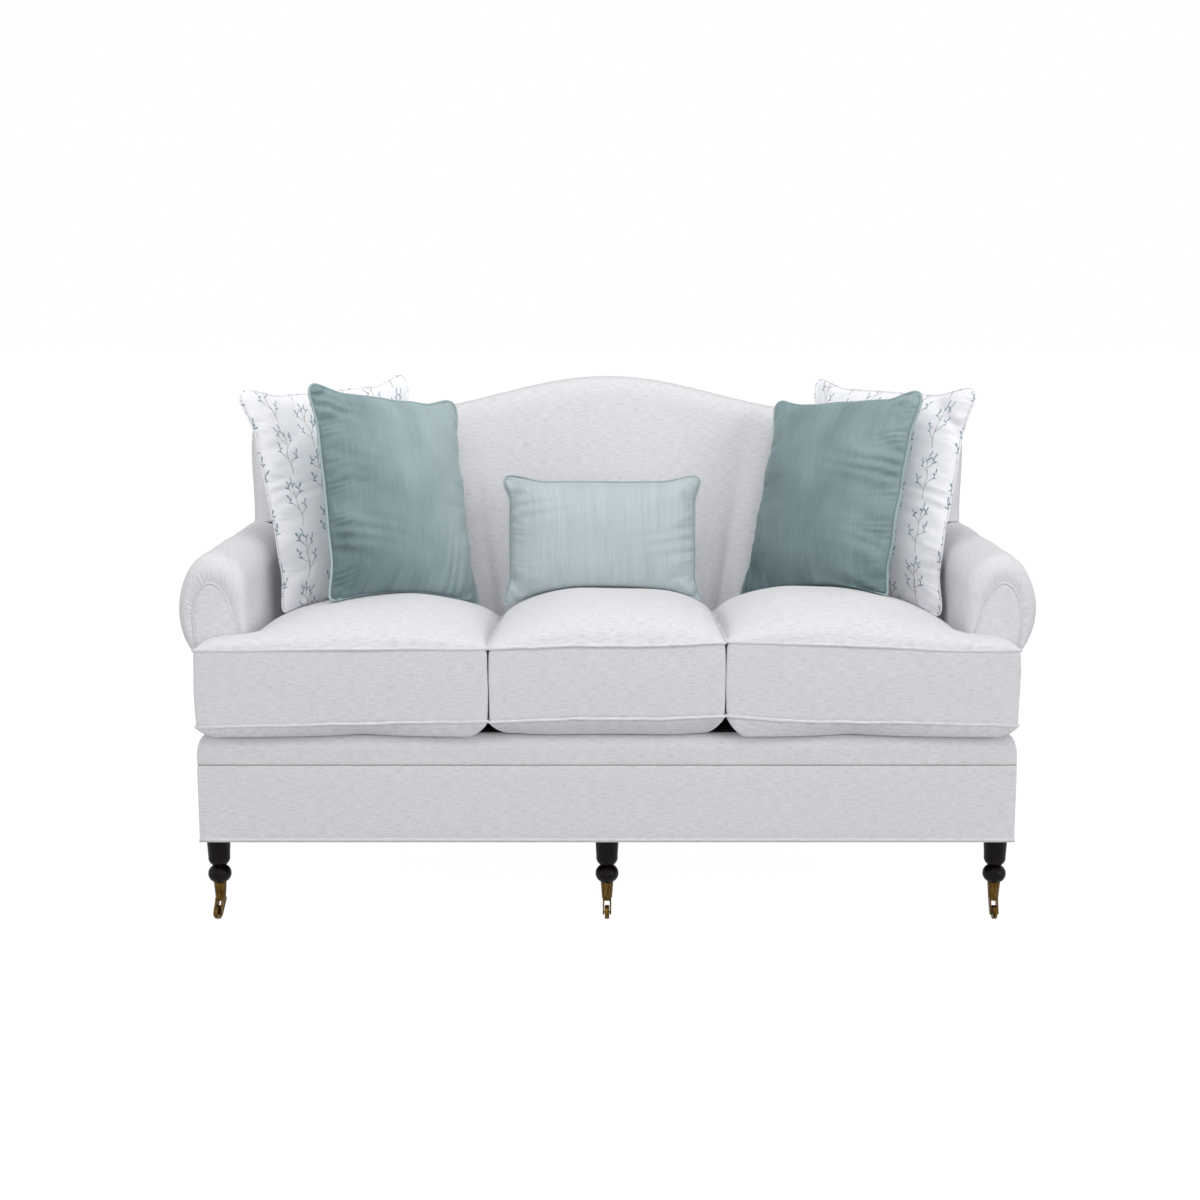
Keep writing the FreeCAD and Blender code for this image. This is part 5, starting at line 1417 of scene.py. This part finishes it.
@dataclass
class FrontLip:
    """The padded roll under the cushions, over the apron, and the black deck behind it."""
    cloth_back: float = FRONT + 0.054
    seam: float = 0.342
    radius: float = 0.030
    end_radius: float = 0.026
    end_fall: float = 0.42
    end_set_back: float = 0.006
    hem_height: float = 0.0085
    columns: int = 240
    strip_columns: int = 60

    def section(self) -> np.ndarray:
        """Section of the lip: up its face, over its round front, back along the deck and under."""
        face, seam = APRON_FACE, self.seam
        line = [(face + 0.0025, seam + 0.0006), (face + 0.0008, seam + 0.0016), (face, seam + 0.004)]
        line += [(face, height) for height in np.linspace(seam + 0.01, DECK - self.radius - 0.002, 7)]
        line += [(face + self.radius * (1 - math.cos(turn)), DECK - self.radius + self.radius * math.sin(turn))
                 for turn in np.radians(np.linspace(0, 90, 14))]
        line += [(along, DECK) for along in np.linspace(face + self.radius + 0.004, LIP_BACK, 9)[1:]]
        line += [(LIP_BACK, height) for height in np.linspace(DECK, seam, 6)[1:]]
        line += [(along, seam + 0.0004) for along in np.linspace(LIP_BACK, face + 0.004, 6)[1:]]
        return np.array(line)

    def build(self, wardrobe: Wardrobe) -> None:
        """Make the lip, the deck's front edge and the hem."""
        face, seam = APRON_FACE, self.seam
        section = self.section()
        angle = np.radians(np.linspace(6, 90, 9))
        plain = BASE_HALF - self.end_radius
        end = plain + self.end_radius * np.sin(angle)
        across = np.concatenate([-end[::-1], np.linspace(-plain, plain, self.columns), end])
        fall = np.concatenate([1 - np.cos(angle[::-1]), np.zeros(self.columns), 1 - np.cos(angle)])
        height = seam + (section[:, 1] - seam) * (1 - self.end_fall * fall)[:, None]
        near_front = section[:, 0] < face + 0.02
        along = np.broadcast_to(section[:, 0], height.shape) + self.end_set_back * fall[:, None] * near_front
        points = np.stack(np.broadcast_arrays(across[:, None], along, height), -1).copy()
        soft = ripple(points, wavelength=0.13, seed=17, height=0.0011)
        points[..., 1] -= soft * smooth_step(seam, seam + 0.02, points[..., 2]) * (points[..., 1] < face + 0.03)

        def closing(edge: np.ndarray, shares: tuple) -> np.ndarray:
            """Rings in the plane of an end that shrink to its middle by shares."""
            middle = edge.mean(1, keepdims=True)
            rings = np.concatenate([edge * (1 - share) + middle * share for share in shares])
            rings[..., 0] = edge[0, 0, 0]
            return rings

        points = np.concatenate([closing(points[:1], (1, 0.5)), points, closing(points[-1:], (0.5, 1))])
        self.sew("front_lip_cover", points, section, Fabric.LINEN, wardrobe, ("front_lip",))
        self.add_strip("deck_edge", (self.cloth_back, LIP_BACK), (DECK + 0.0002, DECK + 0.0008),
                       SEAT_HALF - 0.001, Fabric.BLACK, wardrobe)
        self.add_strip("apron_hem", (face - 0.0009, face + 0.0008), (BASE_FOOT, BASE_FOOT + self.hem_height),
                       BASE_HALF + 0.0006, Fabric.LINEN, wardrobe)

    def sew(self, name: str, points: np.ndarray, section: np.ndarray, fabric: Fabric, wardrobe: Wardrobe,
            nodes: tuple = ()) -> None:
        """Make a piece of rings whose weave runs across the sofa and round their section."""
        places = wrapped(points)[..., 0]
        cloth = np.stack([places, np.broadcast_to(loop_length(section), places.shape)], -1)
        wardrobe.dress(grid_piece(name, [(points, cloth)], turn=True), "sofa", fabric, nodes)

    def add_strip(self, name: str, depth: tuple, height: tuple, half: float, fabric: Fabric,
                  wardrobe: Wardrobe) -> None:
        """A thin flat strip with soft edges across the whole width.

        Args:
            name: the piece's name.
            depth: Y of its front and back.
            height: Z of its foot and top.
            half: half its width.
            fabric: its cloth.
            wardrobe: the finishes.
        """
        (front, back), (low, high) = depth, height
        section = np.array([(front, low), (front, high), (back, high), (back, low)])
        middle = section.mean(0)
        rows = []
        for across, scale in ((-half, 0.0), (-half, 0.8), (-half + 0.0006, 1.0), (half - 0.0006, 1.0),
                              (half, 0.8), (half, 0.0)):
            ring = middle + (section - middle) * scale
            rows.append(np.stack([np.full(len(ring), across), ring[:, 0], ring[:, 1]], -1))
        wide = [rows[2] * (1 - share) + rows[3] * share for share in np.linspace(0, 1, self.strip_columns)]
        self.sew(name, np.stack(rows[:2] + wide + rows[4:]), section, fabric, wardrobe)


# The whole sofa and its set.

@dataclass
class Sofa:
    """All the pieces of the sofa, with the sizes that the photograph and the source give."""
    back: CamelBack = field(default_factory=CamelBack)
    cushions: list = field(default_factory=list)
    panel_inset: float = 0.003
    panel_top: float = 0.5475
    lip_foot: float = 0.3425
    apron_top: float = 0.3416
    side_centre: tuple = (-0.06, 0.27)
    # The outside back's right edge over the arm, as pairs of X and Z.
    rear_edge: tuple = ((BASE_HALF, 0.766), (0.836, 0.766), (0.837, 0.82), (0.844, 0.90), (0.846, 0.95))

    def __post_init__(self) -> None:
        """List the three cushions with the heights of their seams along the front."""
        self.cushions = [
            SeatCushion("left", -1, 0.081, ((-0.838, 0.585), (-0.75, 0.586), (-0.53, 0.590), (-0.24, 0.590)),
                        ((-0.838, 0.427), (-0.66, 0.431), (-0.42, 0.437), (-0.24, 0.439))),
            SeatCushion("middle", 0, 0.090, ((-0.24, 0.590), (-0.07, 0.597), (0.06, 0.596), (0.24, 0.602)),
                        ((-0.24, 0.438), (-0.07, 0.445), (0.10, 0.445), (0.24, 0.450)), corner_tuck=0.65),
            SeatCushion("right", 1, 0.090, ((0.24, 0.604), (0.50, 0.597), (0.70, 0.586), (0.838, 0.586)),
                        ((0.24, 0.451), (0.39, 0.439), (0.62, 0.437), (0.838, 0.431))),
        ]

    def seat_height(self, across: np.ndarray, along: np.ndarray) -> np.ndarray:
        """Height of the highest cushion under a place."""
        return np.max([cushion.height(across, along) for cushion in self.cushions], axis=0)

    def pillows(self) -> list:
        """The five scatter pillows where they lean: sizes, middle, angles, piping, seed, gathers."""
        printed = {"draw": 0.022, "corner_radius": 0.026}
        return [
            ScatterPillow("printed_left", "left_printed_pillow", Fabric.PRINT, "printed_pillow_left",
                          0.486, 0.516, 0.110, (-0.596, 0.117, 0.846), 46, -12.8, -2.5, 0.0018, 3,
                          {"left": 0.2, "foot": 0.15}, **printed),
            ScatterPillow("printed_right", "right_printed_pillow", Fabric.PRINT, "printed_pillow_right",
                          0.486, 0.516, 0.110, (0.614, 0.101, 0.843), -50, -10.8, 0.5, 0.0018, 4,
                          {"right": 0.2, "foot": 0.15}, **printed),
            ScatterPillow("velvet_left", "left_velvet_pillow", Fabric.VELVET, "velvet_pillow_left",
                          0.432, 0.492, 0.140, (-0.469, -0.019, 0.845), 49.3, -16.9, 8.4, 0.0030, 5,
                          {"left": 0.8, "foot": 0.5, "top": 0.2, "right": 0.1}),
            ScatterPillow("velvet_right", "right_velvet_pillow", Fabric.VELVET, "velvet_pillow_right",
                          0.432, 0.492, 0.140, (0.498, 0.023, 0.837), -49.5, -19.9, -6, 0.0030, 6,
                          {"right": 0.8, "foot": 0.3, "top": 0.2, "left": 0.1}),
            ScatterPillow("lumbar", "lumbar", Fabric.SILK, "lumbar_pillow",
                          0.448, 0.297, 0.120, (-0.010, 0.005, 0.749), 3.6, -13.4, 0.6, 0.0022, 7,
                          {"left": 0.3, "right": 0.3}, draw=0.015, corner_radius=0.020, edge_fullness=0.62),
        ]

    def panels(self) -> list:
        """The flat panels of the base and the back."""
        low, high, inset = BASE_FOOT, self.panel_top, self.panel_inset
        side = [(APRON_FACE + inset, low), (float(outside_depth(low)) - inset, low),
                (float(outside_depth(high)) - inset, high), (LIP_BACK, high),
                (LIP_BACK, self.lip_foot), (APRON_FACE + inset, self.lip_foot)]
        base = [(-BASE_HALF, low), (BASE_HALF, low)]
        crest = [(float(x), float(self.back.top(np.array(x))) - self.back.rear_seam_drop)
                 for x in np.linspace(0.80, -0.80, 60)]
        rear = base + list(self.rear_edge) + crest + [(-x, z) for x, z in self.rear_edge[::-1]]
        return [
            FrontPanel("apron_cover", base + [(BASE_HALF, self.apron_top), (-BASE_HALF, self.apron_top)],
                       "front_apron"),
            SidePanel("outside_arm_cover_left", side, "outside_arm_left", centre=self.side_centre, side=-1),
            SidePanel("outside_arm_cover_right", side, "outside_arm_right", centre=self.side_centre,
                      turn=True),
            RearPanel("outside_back_cover", rear, "outside_back", columns=520, turn=True),
        ]

    def build(self, wardrobe: Wardrobe) -> None:
        """Make every piece."""
        arms = [RolledArm("left", -1), RolledArm("right", 1)]
        for part in self.cushions + [self.back] + arms + self.panels() + [FrontLip()]:
            part.build(wardrobe)
        for pillow in self.pillows():
            pillow.build(wardrobe, self)


@dataclass
class Studio:
    """The camera, the lamps, the world and the floor."""
    camera_setback: float = 3.515
    camera_height: float = 1.2977
    camera_pitch: float = 9.8
    focal_pixels: float = 1777.0
    frame_pixels: float = 1200.0
    centre_pixels: float = 607.0
    sensor_mm: float = 36.0
    # Strength of the world's light, and the floor's share of plain white to the eye.
    world_strength: float = 0.45
    floor_white: float = 0.84
    floor_strength: float = 1.18
    floor_tone: str = "#BEBEC0"
    floor_half: float = 40.0
    # Square soft boxes: name, place, the point that each faces, side in metres and power in watts.
    lamps: tuple = (
        ("top_box", (0, -1.3, 3.8), (0, -0.1, 0.4), 3.4, 71),
        ("front_box", (-0.4, -5.0, 1.8), (0, 0, 0.4), 2.6, 25),
        ("right_box", (6.2, -5.0, 2.3), (-0.2, 0, 0.6), 2.6, 155),
        ("left_box", (-4.6, -1.9, 1.7), (0.4, 0, 0.6), 2.0, 32),
    )

    def add_camera(self) -> None:
        """Place the camera at the photograph's angle."""
        data = bpy.data.cameras.new("camera")
        data.sensor_width = self.sensor_mm
        data.lens = self.sensor_mm * self.focal_pixels / self.frame_pixels
        data.shift_x = (self.frame_pixels / 2 - self.centre_pixels) / self.frame_pixels
        data.clip_end = 60
        camera = add_object("camera", data)
        camera.location = (0, FRONT - self.camera_setback, self.camera_height)
        camera.rotation_euler = (math.radians(90 - self.camera_pitch), 0, 0)
        bpy.context.scene.camera = camera

    def add_lamps(self) -> None:
        """Hang the soft boxes."""
        for name, place, aim, size, power in self.lamps:
            data = bpy.data.lights.new(name, "AREA")
            data.size = size
            data.energy = power
            lamp = add_object(name, data)
            lamp.location = place
            lamp.rotation_euler = (Vector(aim) - Vector(place)).to_track_quat("-Z", "Y").to_euler()

    def seen_rays(self, tree: bpy.types.NodeTree) -> bpy.types.Node:
        """1 for what the eye, a reflection or a clear body sees, and 0 for light on the object."""
        rays = add_node(tree, "LightPath").outputs
        two = add_node(tree, "Math", {0: rays["Is Camera Ray"], 1: rays["Is Glossy Ray"]}, operation="MAXIMUM")
        return add_node(tree, "Math", {0: two, 1: rays["Is Transmission Ray"]}, operation="MAXIMUM")

    def add_world(self) -> None:
        """A white world for the eye, and a softer one for the light on the sofa."""
        world = bpy.data.worlds.new("studio")
        bpy.context.scene.world = world
        world.use_nodes = True
        tree = world.node_tree
        tree.nodes.clear()
        level = add_node(tree, "Mix", {0: self.seen_rays(tree), 2: self.world_strength, 3: 1.0})
        light = add_node(tree, "Background", {"Color": linear("#FFFFFF"), "Strength": level})
        add_node(tree, "OutputWorld", {"Surface": light})

    def add_floor(self) -> None:
        """A pale floor that is near white to the eye and keeps the sofa's shadow."""
        mesh = bpy.data.meshes.new("floor")
        half = self.floor_half
        mesh.from_pydata([(-half, -half, 0), (half, -half, 0), (half, half, 0), (-half, half, 0)], [],
                         [(0, 1, 2, 3)])
        # Matt white paper: pale grey under the lamps, with light of its own for the eye alone.
        material, tree = empty_material("pale_floor")
        share = add_node(tree, "Math", {0: self.seen_rays(tree), 1: self.floor_white}, operation="MULTIPLY")
        matt = add_node(tree, "BsdfDiffuse", {"Color": linear(self.floor_tone)})
        white = add_node(tree, "Emission", {"Color": linear("#FFFFFF"), "Strength": self.floor_strength})
        mixed = add_node(tree, "MixShader", {0: share, 1: matt, 2: white})
        add_node(tree, "OutputMaterial", {"Surface": mixed})
        mesh.materials.append(material)
        add_object("floor", mesh)

    def build(self) -> None:
        """Make the whole set."""
        self.add_camera()
        self.add_world()
        self.add_lamps()
        self.add_floor()
        bpy.context.scene.view_settings.view_transform = "Standard"


def main() -> None:
    """Build the scene in order."""
    logging.basicConfig(level=logging.INFO, format="%(name)s %(message)s")
    Studio().build()
    wardrobe = Wardrobe()
    wardrobe.build()
    wardrobe.dress_nodes()
    Sofa().build(wardrobe)


if __name__ == "__main__":
    main()
